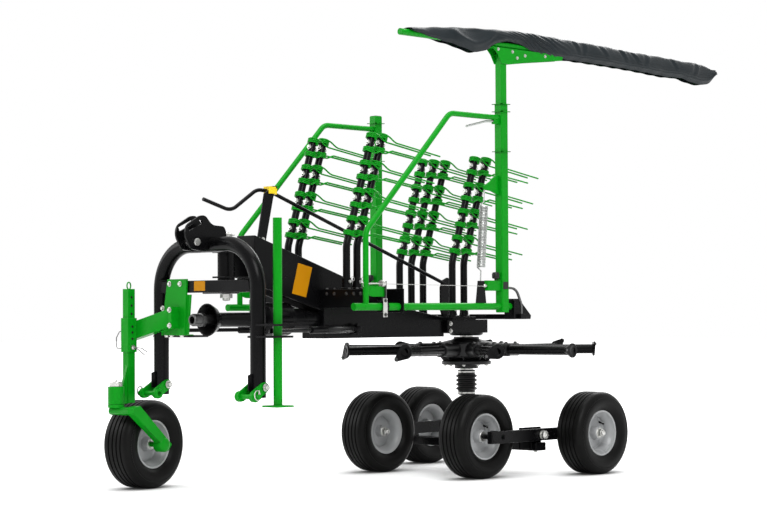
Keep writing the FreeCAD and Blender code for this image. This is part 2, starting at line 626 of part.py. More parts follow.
def lower_links(hoop):
    """At each foot of the hoop, two short links with the pin of a lower link between them."""
    outline = link_outline(("lug_bolt_y", "lug_bolt_z"), ("lug_pin_y", "lug_pin_z"), "lug_radius")
    outer = "hoop_half_width + hoop_radius + lug_plate"
    inner = "hoop_half_width - hoop_radius - lug_plate"
    for side, sign in (("left", 1), ("right", -1)):
        lows = ["hoop_half_width + hoop_radius", inner]
        if sign < 0:
            lows = [f"-({low}) - lug_plate" for low in lows]
        plates = [plate("x", low, "lug_plate", outline) for low in lows]
        pin_start = f"{inner} - 4" if sign > 0 else f"-({outer}) - lug_pin_reach"
        pin = rod("x", "lug_pin_radius", pin_start, f"({outer}) - ({inner}) + 4 + lug_pin_reach",
                  "0", "lug_pin_y", "lug_pin_z", 12)
        bolt_start = f"{inner} - 7" if sign > 0 else f"-({outer}) - 7"
        bolt = rod("x", "13", bolt_start, f"({outer}) - ({inner}) + 14", "0", "lug_bolt_y",
                   "lug_bolt_z", 6)
        keep(cut(fuse(*plates, pin, bolt), hoop), f"{side}_lower_link_lugs")


def guide_plates(low_reach, high_reach, front):
    """Two level plates round a leg of the hoop, out to the given x limits."""
    return [box(*reach, front, "strut_front_y + strut_eye + 4", level, f"{level} + guide_thick")
            for reach, level in ((low_reach, "guide_low"), (high_reach, "guide_top"))]


def stand(hoop):
    leg_side = "hoop_half_width - hoop_radius"
    plates = guide_plates((leg_side, "stand_x + 35"), (leg_side, "stand_x + 91"), "hoop_y - 30")
    opening = rod("z", "stand_radius + slide_gap", "guide_low - 1", "guide_top - guide_low + 12",
                  "stand_x", "stand_y", "0", 12)
    keep(cut(fuse(*plates), opening, hoop), "stand_guide")
    tube = rod("z", "stand_radius", "stand_low", "stand_top - stand_low", "stand_x", "stand_y", "0", 12)
    half = "stand_foot / 2"
    foot = box(f"stand_x - {half}", f"stand_x + {half}", f"stand_y - {half}", f"stand_y + {half}",
               "stand_low", "stand_low + 8")
    keep(fuse(tube, foot), "parking_stand")


def support_arm(hoop):
    """Sleeve for the support wheel's post, on an arm from the plates bolted to the crossbar."""
    half = "support_post_side / 2"
    wall = f"{half} + slide_gap + sleeve_wall"
    outer = box(f"post_x - ({wall})", f"post_x + {wall}", f"post_y - ({wall})", f"post_y + {wall}",
                "sleeve_low", "sleeve_top")
    face = "hoop_y - cross_depth / 2"
    front_plate = plate("y", f"{face} - plate_thick", "plate_thick", [
        ("front_plate_top_far", "plate_top"), ("front_plate_top_near", "plate_top"),
        ("front_plate_low_near", "plate_low"), ("front_plate_low_far", "plate_low")])
    back_plate_top = "cross_low - back_plate_thick"
    back_plate = plate("y", face, "back_plate_thick", [
        ("back_plate_top_far", back_plate_top), ("back_plate_top_near", back_plate_top),
        ("back_plate_low_near", "plate_low"), ("back_plate_low_far", "plate_low")])
    foot = box("front_plate_low_far", "front_plate_low_near", f"{face} - plate_thick", "hoop_y + 20",
               "guide_low + guide_thick", "plate_low")
    inside = f"post_y + {half} + slide_gap"
    arm = plate("y", inside, f"{face} - plate_thick - ({inside})", [
        ("arm_root_x", "arm_root_top"), ("arm_root_x", "arm_root_top - arm_height"),
        (f"post_x - ({wall})", "arm_end_top - arm_height"), (f"post_x - ({wall})", "arm_end_top")])
    bore = f"({half} + slide_gap)"
    inner = box(f"post_x - {bore}", f"post_x + {bore}", f"post_y - {bore}", f"post_y + {bore}",
                "sleeve_low - 1", "sleeve_top + 1")
    keep(cut(fuse(outer, arm, front_plate, back_plate, foot), inner, hoop), "support_wheel_arm")


def support_post():
    half = "support_post_side / 2"
    post = box(f"post_x - {half}", f"post_x + {half}", f"post_y - {half}", f"post_y + {half}",
               "support_post_low", "support_post_top")
    barrel = rod("z", "castor_radius", "castor_low", "castor_top - castor_low", "castor_x", "castor_y",
                 "0", 16)
    gusset = plate("x", "castor_x - 8", "16", [
        ("castor_y", "castor_low"), (f"post_y - {half}", "castor_low"),
        (f"post_y - {half}", "castor_top + 95"), ("castor_y + castor_radius - 4", "castor_top")])
    bore = hole("z", "castor_pin + running_gap / 10", "castor_low - 1", "castor_top - castor_low + 2",
                "castor_x", "castor_y", "0")
    keep(cut(fuse(post, barrel, gusset), bore), "support_wheel_post")


CASTOR_TURN = "rotation(vector(0; 0; 1); castor_turn)"


def castor():
    """Pivot pin, cross bar, side leg and axle, drawn straight and then turned about the pin."""
    half = "fork_bar / 2"
    cross = rod("x", half, f"-{half} - 12", f"fork_x + {half} + 12", "0", "0", "fork_bar_z", 10, "0")
    leg = plate("x", f"fork_x - {half}", "fork_bar", [
        (f"-{half} - 4", f"fork_bar_z + {half}"), (f"{half}", f"fork_bar_z + {half} + 6"),
        ("castor_trail + 46", "tyre_radius"), ("castor_trail + 22", "tyre_radius - 30"),
        (f"-{half} - 4", f"fork_bar_z - {half} + 8")], base="0")
    washer = rod("z", "castor_radius", f"fork_bar_z + {half} - 4", f"castor_low - fork_bar_z - {half} + 3",
                 "0", "0", "0", 16, "0")
    pin = rod("z", "castor_pin", "fork_bar_z", "castor_top - fork_bar_z + 18", "0", "0", "0", 0, "0")
    nut = rod("z", "castor_pin + 9", "castor_top + running_gap", "14", "0", "0", "0", 6, "0")
    axle = rod("x", "axle_radius", "-rim_width / 2 - 10", "fork_x + rim_width / 2 + 10",
               "0", "castor_trail", "tyre_radius", 12, "0")
    whole = fuse(leg, cross, washer, pin, nut, axle)
    place(whole, "castor_x", "castor_y", "0", CASTOR_TURN)
    keep(whole, "castor_fork")


# Stabilising struts between the headstock and the beam: a barrel pinned to the beam and a rod
# that slides in it, with its eye at the headstock.

# where each piece of a strut starts and ends, as shares of the way from the rear pin to the front pin
STRUT_SHARES = {"barrel": (0.06, 0.58), "neck": (0.02, 0.07), "bore": (0.08, 0.6), "rod": (0.3, 0.978)}


def along_strut(sign, share):
    """A point part of the way from the strut's rear pin to its front pin."""
    rear = (f"{sign} * strut_rear_x", "strut_rear_y", "strut_z")
    front = (f"{sign} * strut_front_x", "strut_front_y", "strut_z")
    return [f"({a}) + (({b}) - ({a})) * ({share})" for a, b in zip(rear, front)]


def strut_piece(radius, sign, piece, sides):
    start, end = STRUT_SHARES[piece]
    return strut(radius, along_strut(sign, start), along_strut(sign, end), sides)


def struts(hoop):
    for side, sign in (("left", 1), ("right", -1)):
        barrel = strut_piece("strut_barrel", sign, "barrel", 12)
        neck = strut_piece("strut_rod", sign, "neck", 8)
        bore = strut_piece("strut_rod + slide_gap", sign, "bore", 12)
        eye = rod("z", "strut_eye", "-barrel_eye_half", "barrel_eye_half * 2", *along_strut(sign, 0), 12)
        pin_hole = rod("z", "strut_pin + running_gap / 10", "-barrel_eye_half - 1",
                       "barrel_eye_half * 2 + 2", *along_strut(sign, 0))
        keep(cut(fuse(barrel, neck, eye), bore, pin_hole), f"{side}_strut_barrel")
        slider = strut_piece("strut_rod", sign, "rod", 12)
        eye = rod("z", "strut_eye", "-rod_eye_half", "rod_eye_half * 2", *along_strut(sign, 1), 16)
        pin_hole = hole("z", "strut_pin + strut_drift", "-rod_eye_half - 1", "rod_eye_half * 2 + 2",
                        *along_strut(sign, 1))
        keep(cut(fuse(slider, eye), pin_hole), f"{side}_strut_rod")
    lugs = [box(*limits, "strut_rear_y - strut_lug_half", "strut_rear_y + strut_lug_half",
                f"strut_z + {level}", f"strut_z + {level} + strut_lug_thick")
            for limits in both_sides("box_half_width", "strut_rear_x + strut_lug_half")
            for level in ("strut_lug_high", "strut_lug_low")]
    pins = [rod("z", "strut_pin", "-strut_pin_half", "strut_pin_half * 2", *along_strut(sign, 0), 12)
            for sign in (1, -1)]
    keep(fuse(*lugs, *pins), "strut_lugs")
    outer = "hoop_half_width + hoop_radius + 25"
    inner = "hoop_half_width - hoop_radius"
    plates = guide_plates((f"-({outer})", "-125"), (f"-({outer})", f"-({inner})"), "hoop_y")
    keep(cut(fuse(*plates), hoop), "strut_bracket")
    pins = [rod("z", "strut_pin", "guide_low + guide_thick", "guide_top - guide_low - guide_thick",
                f"{sign} * strut_front_x", "strut_front_y", "0", 12) for sign in (1, -1)]
    keep(fuse(*pins), "strut_front_pins")


# Guards, folded up, with the windrow curtain on the left one.

def guard_hangers():
    """Carriers of the hinge tubes: ears on the front carrier, and bars out from the end frame."""
    ear_end = "guard_x + guard_tube + 14"
    reach = both_sides("carrier_end - 60", ear_end)
    holes = [hole("y", "guard_tube + running_gap / 10", "carrier_rear_y - 1",
                  "frame_rear_y - carrier_rear_y", x, "0", "guard_z") for x in ("guard_x", "-guard_x")]
    ears = [box(*limits, "carrier_rear_y", "carrier_rear_y + ear_thick", "carrier_low - 22", "carrier_top")
            for limits in reach]
    keep(cut(fuse(*ears), *holes), "front_guard_hanger")
    bars = [box(*limits, "rear_bar_y - rear_bar_depth / 2", "rear_bar_y + rear_bar_depth / 2",
                "rear_bar_low", "rear_bar_top") for limits in both_sides("frame_half_width - 12", "guard_x")]
    tips = [plate("x", low, "ear_thick", [
        ("guard_rear_y + rear_ear_y", "rear_bar_low"), ("rear_bar_y + 84", "rear_bar_low"),
        ("rear_bar_y + 88", "rear_bar_low + 18"), ("rear_bar_y - 4", "guard_z + 38"),
        ("guard_rear_y + rear_ear_y", "guard_z + 38")])
            for low in ("guard_x - 34", "-guard_x + 34 - ear_thick")]
    ears = [box(*limits, "guard_rear_y + rear_ear_y", "guard_rear_y + rear_ear_y + ear_thick",
                "rear_bar_low", "guard_z + 30") for limits in both_sides("guard_x - 34", "guard_x + 30")]
    keep(cut(fuse(*bars, *tips, *ears), *holes), "rear_guard_hanger")


def guard(side, sign):
    x = f"{sign} * guard_x"
    hinge = rod("y", "guard_tube", "guard_front_y - hinge_overhang",
                "guard_rear_y + rear_ear_y + ear_thick + 4 - guard_front_y + hinge_overhang",
                x, "0", "guard_z")
    corner = [point(x, y, z) for y, z in (
        ("guard_front_y + guard_foot_inset", "guard_z"),
        ("guard_front_y + guard_foot_inset", "guard_knee_z"),
        ("guard_top_y", "guard_top_z"), ("guard_rear_y", "guard_top_z"))]
    frame = shaped(bent_tube(corner, FreeCAD.Vector(1, 0, 0), size("guard_bend"),
                             size("guard_frame_tube"), 10, 2))
    half = "post_side / 2"
    post = box(f"{x} - {half}", f"{x} + {half}", f"guard_rear_y - {half}", f"guard_rear_y + {half}",
               "guard_z - post_foot_drop", "post_top")
    if side == "right":
        keep(fuse(hinge, frame, post), "right_guard_frame")
        return
    bore = "(curtain_post_side / 2 + slide_gap)"
    inner = box(f"{x} - {bore}", f"{x} + {bore}", f"guard_rear_y - {bore}", f"guard_rear_y + {bore}",
                "guard_z + arm_pocket_low", "post_top + 1")
    keep(cut(fuse(hinge, frame, post), inner), "left_guard_frame")


def curtain():
    """The curtain's square arm in the left post, its bar, and the sheet that hangs over the bar."""
    x = "guard_x"
    half = "curtain_post_side / 2"
    arm_top = "(curtain_bar_z - post_to_bar)"
    arm = box(f"{x} - {half}", f"{x} + {half}", f"guard_rear_y - {half}", f"guard_rear_y + {half}",
              "guard_z + curtain_arm_low", arm_top)
    keep(arm, "curtain_arm")
    rail = rod("y", "curtain_bar_radius", "curtain_front_y", "curtain_rear_y - curtain_front_y", x, "0",
               "curtain_bar_z", 12)
    bracket = plate("x", f"{x} - bar_bracket_thick / 2", "bar_bracket_thick", [
        ("guard_rear_y - 20", arm_top), ("guard_rear_y + 20", arm_top),
        ("guard_rear_y + 120", "curtain_bar_z"), ("guard_rear_y - 60", "curtain_bar_z")])
    keep(fuse(rail, bracket), "curtain_bar")
    inner = "curtain_bar_radius + slide_gap"
    outer = f"{inner} + curtain_thick"
    first = "curtain_front_y + curtain_inset"
    length = "curtain_rear_y - curtain_front_y - curtain_inset * 2"
    low = "curtain_bar_z - curtain_drop"
    top = rod("y", outer, first, length, x, "0", "curtain_bar_z", 12)
    hollow = rod("y", inner, first, length, x, "0", "curtain_bar_z", 12)
    lower = box(f"{x} - ({outer})", f"{x} + {outer}", first, f"({first}) + ({length})",
                low, "curtain_bar_z")
    slot = box(f"{x} - ({inner})", f"{x} + {inner}", f"({first}) - 1", f"({first}) + ({length}) + 1",
               f"{low} - 1", "curtain_bar_z")
    notch = box(f"{x} - ({outer}) - 1", f"{x} + {outer} + 1", f"guard_rear_y - {half} - 5",
                f"guard_rear_y + {half} + 5", f"{low} - 1", f"{arm_top} + 5")
    keep(cut(fuse(top, lower), hollow, slot, notch), "curtain")


def assist_spring():
    x = "guard_x"
    coil = strut("spring_radius", (x, "guard_rear_y + spring_high_y", "guard_z + spring_high_z"),
                 (x, "guard_rear_y + spring_low_y", "guard_z + spring_low_z"), 10)
    wire = strut("spring_wire", (x, "guard_rear_y + wire_high_y", "guard_z + wire_high_z"),
                 (x, "guard_rear_y + wire_low_y", "guard_z + wire_low_z"), 6)
    hook = box(f"{x} - spring_hook_half", f"{x} + spring_hook_half", "guard_rear_y + spring_hook_y",
               "guard_rear_y - post_side / 2", "guard_z + spring_hook_low", "guard_z + spring_hook_top")
    keep(fuse(coil, wire, hook), "assist_spring")


# Drive line and crank.

def drive_line():
    shaft = rod("y", "guard_tube_radius - drive_wall - 3", "drive_tip_y + 60",
                "drive_end_y - slide_gap - drive_tip_y - 60", "0", "0", "drive_z", 12)
    yoke = rod("y", "26", "drive_tip_y", "70", "0", "0", "drive_z", 16)
    bore = rod("y", "input_bore", "drive_tip_y", "input_depth", "0", "0", "drive_z")
    keep(cut(fuse(shaft, yoke), bore), "drive_shaft")
    tube = "guard_tube_radius"
    outline = [
        ("cone_radius", "cone_rim_y"), (tube, "cone_rim_y + 60"), (tube, "bell_front_y"),
        ("bell_radius", "bell_front_y"), ("bell_radius", "bell_rear_y"),
        ("neck_radius", "bell_rear_y"), ("neck_radius", "drive_end_y"),
        (f"{tube} - drive_wall", "drive_end_y"), (f"{tube} - drive_wall", "cone_rim_y + 60"),
        ("cone_radius - 6", "cone_rim_y"),
    ]
    keep(shaped(lathe(outline, GUARD_SIDES, closed=True), z="drive_z", turn=TURNS["y"]), "drive_guard")


def crank(beam):
    """The height crank, with its handle's bends at the front and its foot on the end frame."""
    path = [point("0", y, z) for y, z in (
        ("crank_tip_y", "crank_tip_z"), ("crank_hook_y", "crank_tip_z - crank_drop"),
        ("crank_holder_y - 70", "crank_holder_z"), ("crank_holder_y + 10", "crank_holder_z - 6"),
        ("crank_end_y", "crank_end_z"))]
    handle = shaped(bent_tube(path, FreeCAD.Vector(1, 0, 0), size("crank_bend"), size("crank_rod"), 8, 2))
    keep(handle, "height_crank")
    foot_level = "crank_holder_z - stay_foot_drop"
    below = "crank_holder_z - holder_below"
    above = "crank_holder_z + holder_above"
    stay = plate("x", "crank_arm_x", "stay_thick", [
        ("crank_holder_y - stay_foot_front", foot_level), ("crank_holder_y - stay_foot_rear", foot_level),
        ("crank_holder_y - 12", below), ("crank_holder_y + 12", above),
        ("crank_holder_y - 18", above), ("crank_holder_y - 71", below)])
    upright = plate("x", "-upright_thick / 2", "upright_thick", link_outline(
        ("crank_end_y + 15", "frame_top + 52"), ("crank_end_y + 15", "crank_end_z - 18"),
        "upright_radius"))
    foot = box("-40", "40", "crank_end_y - 40", "crank_end_y + 70", "frame_top", "frame_top + 8")
    clip = box("-crank_rod - 6", "crank_arm_x", "crank_holder_y - holder_half",
               "crank_holder_y + holder_half", below, above)
    keep(cut(clip, handle), "crank_holder")
    keep(cut(fuse(stay, upright, foot), beam, handle), "crank_bracket")


beam = main_beam()
pivot_barrel()
gear_housing()
axle_beam(column())
bogie("left", 1)
bogie("right", -1)
shapes = wheel_shapes()
for side, sign, outward in (("left", "", ALONG_X), ("right", "-", AGAINST_X)):
    wheel(shapes, f"{side}_front", f"{sign}front_track", "front_axle_y", outward)
    wheel(shapes, f"{side}_rear", f"{sign}rear_track", "rear_axle_y", outward)
rotor()
racks(beam)
stowed()
hoop = headstock()
upper_link(hoop)
lower_links(hoop)
stand(hoop)
support_arm(hoop)
support_post()
castor()
wheel(shapes, "support_wheel", "castor_x - castor_trail * sin(castor_turn)",
      "castor_y + castor_trail * cos(castor_turn)", f"{CASTOR_TURN} * {ALONG_X}")
struts(hoop)
guard_hangers()
guard("left", 1)
guard("right", -1)
curtain()
assist_spring()
drive_line()
crank(beam)

doc.recompute()
os.makedirs("parts", exist_ok=True)
for item in doc.Objects:
    if {"Invalid", "Error"} & set(item.State):
        raise RuntimeError(f"{item.Label} failed: {item.State}")
for node in nodes:
    if node.Shape.isNull() or not node.Shape.isValid() or not node.Shape.Solids:
        raise RuntimeError(f"{node.Label} is not a valid solid")
    node.Shape.exportStep(f"parts/{node.Label}.step")
print(f"{len(nodes)} sub-parts written")
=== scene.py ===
import json
import math

import bmesh
import bpy
from mathutils import Matrix, Vector


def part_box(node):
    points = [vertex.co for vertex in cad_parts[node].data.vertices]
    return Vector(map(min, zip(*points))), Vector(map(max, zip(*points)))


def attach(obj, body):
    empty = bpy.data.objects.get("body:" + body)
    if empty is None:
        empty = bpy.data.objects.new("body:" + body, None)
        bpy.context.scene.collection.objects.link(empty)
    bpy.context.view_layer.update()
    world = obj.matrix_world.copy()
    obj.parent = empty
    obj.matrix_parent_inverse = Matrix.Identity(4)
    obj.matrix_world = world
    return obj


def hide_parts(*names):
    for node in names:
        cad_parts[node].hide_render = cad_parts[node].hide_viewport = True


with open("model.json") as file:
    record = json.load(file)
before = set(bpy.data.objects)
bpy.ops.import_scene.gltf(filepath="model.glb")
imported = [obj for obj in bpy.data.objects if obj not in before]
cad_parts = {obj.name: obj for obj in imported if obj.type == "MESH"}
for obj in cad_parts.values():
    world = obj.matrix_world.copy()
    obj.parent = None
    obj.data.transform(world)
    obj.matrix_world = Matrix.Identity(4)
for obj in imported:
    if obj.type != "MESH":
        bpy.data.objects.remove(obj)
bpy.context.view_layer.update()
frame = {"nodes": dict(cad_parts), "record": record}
scene = bpy.context.scene
bodyOf = {node: name for name, nodes in frame["record"]["behaviour"]["bodies"].items() for node in nodes}
slotOf = {entry["node"]: entry["material_slot"] for entry in frame["record"]["subparts"]}
columnLow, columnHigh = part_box("rotor_column")
columnY = (columnLow.y + columnHigh.y) / 2
xAxis, yAxis, zAxis = Vector((1, 0, 0)), Vector((0, 1, 0)), Vector((0, 0, 1))
bothSides = (("left", 1), ("right", -1))


def mm(x, y, z):
    # an offset in millimetres
    return Vector((x / 1000, y / 1000, z / 1000))


def at(x, y, z):
    # a place in millimetres, with y counted from the rotor column
    return Vector((x / 1000, y / 1000 + columnY, z / 1000))


# Node trees: a socket among the inputs is linked, anything else is set

def addNode(tree, kind, inputs=None, **settings):
    node = tree.nodes.new(kind)
    for name, value in settings.items():
        setattr(node, name, value)
    for key, value in (inputs or {}).items():
        if hasattr(value, "is_linked"):
            tree.links.new(value, node.inputs[key])
        else:
            node.inputs[key].default_value = value
    return node


def newTree(kind, name, inputs, outputs):
    tree = bpy.data.node_groups.new(name, kind)
    for label, socketKind, value in inputs:
        socket = tree.interface.new_socket(label, in_out="INPUT", socket_type="NodeSocket" + socketKind)
        if value is not None:
            socket.default_value = value
    for label, socketKind in outputs:
        tree.interface.new_socket(label, in_out="OUTPUT", socket_type="NodeSocket" + socketKind)
    return tree, tree.nodes.new("NodeGroupInput").outputs, tree.nodes.new("NodeGroupOutput").inputs


def noise(tree, vector, scale, detail):
    inputs = {"Vector": vector, "Scale": scale, "Detail": detail}
    return addNode(tree, "ShaderNodeTexNoise", inputs).outputs["Fac"]


def mapRange(tree, value, low, high, toLow, toHigh):
    inputs = {"Value": value, "From Min": low, "From Max": high, "To Min": toLow, "To Max": toHigh}
    return addNode(tree, "ShaderNodeMapRange", inputs).outputs["Result"]


def mathNode(tree, operation, first, second):
    clamped = operation == "MULTIPLY"
    return addNode(tree, "ShaderNodeMath", {0: first, 1: second}, operation=operation,
                   use_clamp=clamped).outputs[0]


def mixColours(tree, factor, low, high):
    v = {"factor": 0, "low": 6, "high": 7, "mixed": 2}  # where the node keeps its colour sockets
    low, high = (colour if hasattr(colour, "is_linked") else (*colour, 1.0) for colour in (low, high))
    inputs = {v["factor"]: factor, v["low"]: low, v["high"]: high}
    return addNode(tree, "ShaderNodeMix", inputs, data_type="RGBA").outputs[v["mixed"]]


# Effects that several finishes share

def surfaceDrift():
    # slow changes of tone, fine relief, and dust that lies on what faces up
    v = {"speckScale": 38.0, "speckDetail": 6.0, "driftDetail": 4.0, "reliefDetail": 2.0,
         "facing": (0.35, 1.0, 0.0, 1.0), "specks": (0.38, 0.72, 0.15, 1.0)}
    tree, given, result = newTree("ShaderNodeTree", "surfaceDrift", [
        ("Vector", "Vector", None), ("Drift Scale", "Float", 5.0), ("Relief Scale", "Float", 320.0),
        ("Dust Amount", "Float", 0.3)], [("Tone", "Float"), ("Relief", "Float"), ("Dust", "Float")])
    place = given["Vector"]
    normal = addNode(tree, "ShaderNodeNewGeometry").outputs["Normal"]
    facing = addNode(tree, "ShaderNodeSeparateXYZ", {"Vector": normal}).outputs["Z"]
    specks = mapRange(tree, noise(tree, place, v["speckScale"], v["speckDetail"]), *v["specks"])
    lying = mathNode(tree, "MULTIPLY", mapRange(tree, facing, *v["facing"]), specks)
    for label, socket in (("Tone", noise(tree, place, given["Drift Scale"], v["driftDetail"])),
                          ("Relief", noise(tree, place, given["Relief Scale"], v["reliefDetail"])),
                          ("Dust", mathNode(tree, "MULTIPLY", lying, given["Dust Amount"]))):
        tree.links.new(socket, result[label])
    return tree


def brushedGrain():
    # fine streaks along one direction, as on drawn or plated steel
    v = {"across": 240.0, "streakDetail": 3.0, "spotScale": 90.0, "spotDetail": 4.0}
    tree, given, result = newTree("ShaderNodeTree", "brushedGrain", [
        ("Vector", "Vector", None), ("Stretch", "Float", 30.0)], [("Streak", "Float"), ("Spot", "Float")])
    stretch = addNode(tree, "ShaderNodeCombineXYZ",
                      {"X": given["Stretch"], "Y": v["across"], "Z": v["across"]}).outputs["Vector"]
    scaled = addNode(tree, "ShaderNodeVectorMath", {0: given["Vector"], 1: stretch},
                     operation="MULTIPLY").outputs["Vector"]
    tree.links.new(noise(tree, scaled, 1.0, v["streakDetail"]), result["Streak"])
    tree.links.new(noise(tree, given["Vector"], v["spotScale"], v["spotDetail"]), result["Spot"])
    return tree


driftGroup, grainGroup = surfaceDrift(), brushedGrain()


def effectOf(tree, place, v):
    if "stretch" in v:
        inputs, group = {"Vector": place, "Stretch": v["stretch"]}, grainGroup
    else:
        inputs, group = {"Vector": place, "Drift Scale": v["drift"], "Relief Scale": v["fine"],
                         "Dust Amount": v["dust"]}, driftGroup
    return addNode(tree, "ShaderNodeGroup", inputs, node_tree=group).outputs


def weave(tree, place, threads):
    waves = [addNode(tree, "ShaderNodeTexWave", {"Vector": place, "Scale": threads},
                     bands_direction=direction).outputs["Fac"] for direction in "YZ"]
    return mathNode(tree, "ADD", *waves)


finishKinds = {
    "paint": {"drift": 5.0, "fine": 420.0, "dust": 0.1, "tint": (0.42, 0.40, 0.36), "tone": "Tone",
              "roughBy": "Tone", "spread": (0.8, 1.3), "height": "Relief", "relief": 0.06, "deep": 0.0006},
    "skin": {"drift": 9.0, "dust": 0.02, "tint": (0.3, 0.28, 0.25), "tone": "Tone", "roughBy": "Relief",
             "spread": (0.85, 1.12), "height": "Relief", "deep": 0.001, "shine": 0.25},
    "steel": {"stretch": 25.0, "tone": "Spot", "roughBy": "Streak", "spread": (0.75, 1.35),
              "height": "Streak", "relief": 0.12, "deep": 0.0004, "metal": 1.0, "shine": 0.5},
    "cloth": {"drift": 7.0, "fine": 60.0, "dust": 0.02, "tint": (0.2, 0.2, 0.19), "tone": "Tone",
              "roughBy": "Tone", "spread": (1.0, 1.5), "relief": 0.12, "deep": 0.0004,
              "threads": 900.0 / 6.2832},
}


def makeFinish(name, kind, dark, light, rough, own):
    v = {"metal": 0.0, "span": (0.3, 0.7), **finishKinds[kind], **own}
    material = bpy.data.materials.new(name)
    material.use_nodes = True
    tree = material.node_tree
    shader = tree.nodes["Principled BSDF"].inputs
    place = addNode(tree, "ShaderNodeTexCoord").outputs["Object"]
    effect = effectOf(tree, place, v)
    colour = mixColours(tree, effect[v["tone"]], dark, light)
    if "tint" in v:
        colour = mixColours(tree, effect["Dust"], colour, v["tint"])
    roughness = mapRange(tree, effect[v["roughBy"]], *v["span"], *[rough * share for share in v["spread"]])
    height = weave(tree, place, v["threads"]) if "threads" in v else effect[v["height"]]
    bump = addNode(tree, "ShaderNodeBump", {"Strength": v["relief"], "Distance": v["deep"], "Height": height})
    for label, socket in (("Base Color", colour), ("Roughness", roughness),
                          ("Normal", bump.outputs["Normal"])):
        tree.links.new(socket, shader[label])
    shader["Metallic"].default_value = v["metal"]
    shader["Specular IOR Level"].default_value = v["shine"]
    return material


finishes = {}
for name, kind, dark, light, rough, own in (
        ("greenPaint", "paint", (0.001, 0.195, 0.005), (0.002, 0.26, 0.009), 0.30,
         {"shine": 0.10, "dust": 0.02}),
        ("blackPaint", "paint", (0.0012, 0.0012, 0.0014), (0.0035, 0.0035, 0.004), 0.26,
         {"shine": 0.09, "dust": 0.015}),
        ("yellowPaint", "paint", (0.72, 0.50, 0.012), (0.80, 0.58, 0.02), 0.35, {"shine": 0.2}),
        ("orangePlate", "paint", (0.40, 0.165, 0.001), (0.48, 0.20, 0.002), 0.4,
         {"shine": 0.08, "dust": 0.02}),
        ("rimPaint", "paint", (0.25, 0.257, 0.262), (0.36, 0.367, 0.372), 0.30,
         {"shine": 0.5, "dust": 0.03}),
        ("castIron", "skin", (0.003, 0.003, 0.0033), (0.009, 0.009, 0.0095), 0.38,
         {"relief": 0.35, "fine": 160.0}),
        ("zincSteel", "steel", (0.42, 0.42, 0.40), (0.62, 0.62, 0.60), 0.34, {}),
        ("darkSteel", "steel", (0.06, 0.06, 0.06), (0.13, 0.13, 0.13), 0.38, {}),
        ("springSteel", "steel", (0.30, 0.31, 0.30), (0.45, 0.46, 0.45), 0.3, {}),
        ("tyreRubber", "skin", (0.0014, 0.0014, 0.0014), (0.0038, 0.0038, 0.0036), 0.40,
         {"relief": 0.25, "fine": 500.0, "dust": 0.008, "shine": 0.09}),
        # painted shade: nearly black and without shine, for the sheet that darkens the beam's underside
        ("paintedShadeBlack", "skin", (0.001, 0.001, 0.001), (0.002, 0.002, 0.002), 0.9,
         {"relief": 0.1, "fine": 200.0, "dust": 0.0, "shine": 0.02}),
        ("bellowsRubber", "skin", (0.004, 0.004, 0.004), (0.009, 0.009, 0.009), 0.42,
         {"relief": 0.15, "fine": 300.0}),
        ("curtainSheet", "cloth", (0.004, 0.007, 0.009), (0.012, 0.017, 0.020), 0.28, {"shine": 0.16})):
    finishes[name] = makeFinish(name, kind, dark, light, rough, own)
slotFinish = {
    "green_paint": "greenPaint", "black_paint": "blackPaint", "zinc_steel": "zincSteel",
    "tyre": "tyreRubber", "rim_paint": "rimPaint", "curtain_sheet": "curtainSheet",
    "cast_housing": "castIron", "spring_steel": "springSteel", "yellow_paint": "yellowPaint",
}
finishSlot = {finish: slot for slot, finish in slotFinish.items()}
finishSlot.update({"orangePlate": "yellow_paint", "darkSteel": "zinc_steel", "bellowsRubber": "tyre",
                   "paintedShadeBlack": "black_paint"})
for node, piece in frame["nodes"].items():
    piece.data.materials.clear()
    piece.data.materials.append(finishes[slotFinish[slotOf[node]]])
print("finishes made:", len(finishes))


# Tools for building pieces; sizes are in millimetres

def closeMesh(name, bm):
    bmesh.ops.recalc_face_normals(bm, faces=bm.faces)
    mesh = bpy.data.meshes.new(name)
    bm.to_mesh(mesh)
    bm.free()
    return mesh


def shapedMesh(name, shapes):
    # each shape is a building function followed by what it is given
    bm = bmesh.new()
    for build, *given in shapes:
        build(bm, *given)
    return closeMesh(name, bm)


roundedFrom = 38.0  # edges that turn by more degrees than this are rounded


def dressMesh(name, mesh, finish, body, smooth=40.0, replaced=None, bevel=0.0, segments=2):
    mesh.materials.clear()
    mesh.materials.append(finishes[finish])
    mesh.shade_smooth()
    mesh.set_sharp_from_angle(angle=math.radians(smooth))
    piece = bpy.data.objects.new(name, mesh)
    scene.collection.objects.link(piece)
    if bevel:
        rounding = piece.modifiers.new("softEdges", "BEVEL")
        rounding.width = bevel / 1000
        rounding.segments = segments
        rounding.limit_method = "ANGLE"
        rounding.angle_limit = math.radians(max(smooth, roundedFrom))
        rounding.harden_normals = True
    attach(piece, body)
    if replaced:
        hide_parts(replaced)
    return piece


def addPiece(name, finish, body, *shapes, **dress):
    return dressMesh(name, shapedMesh(name, shapes), finish, body, **dress)


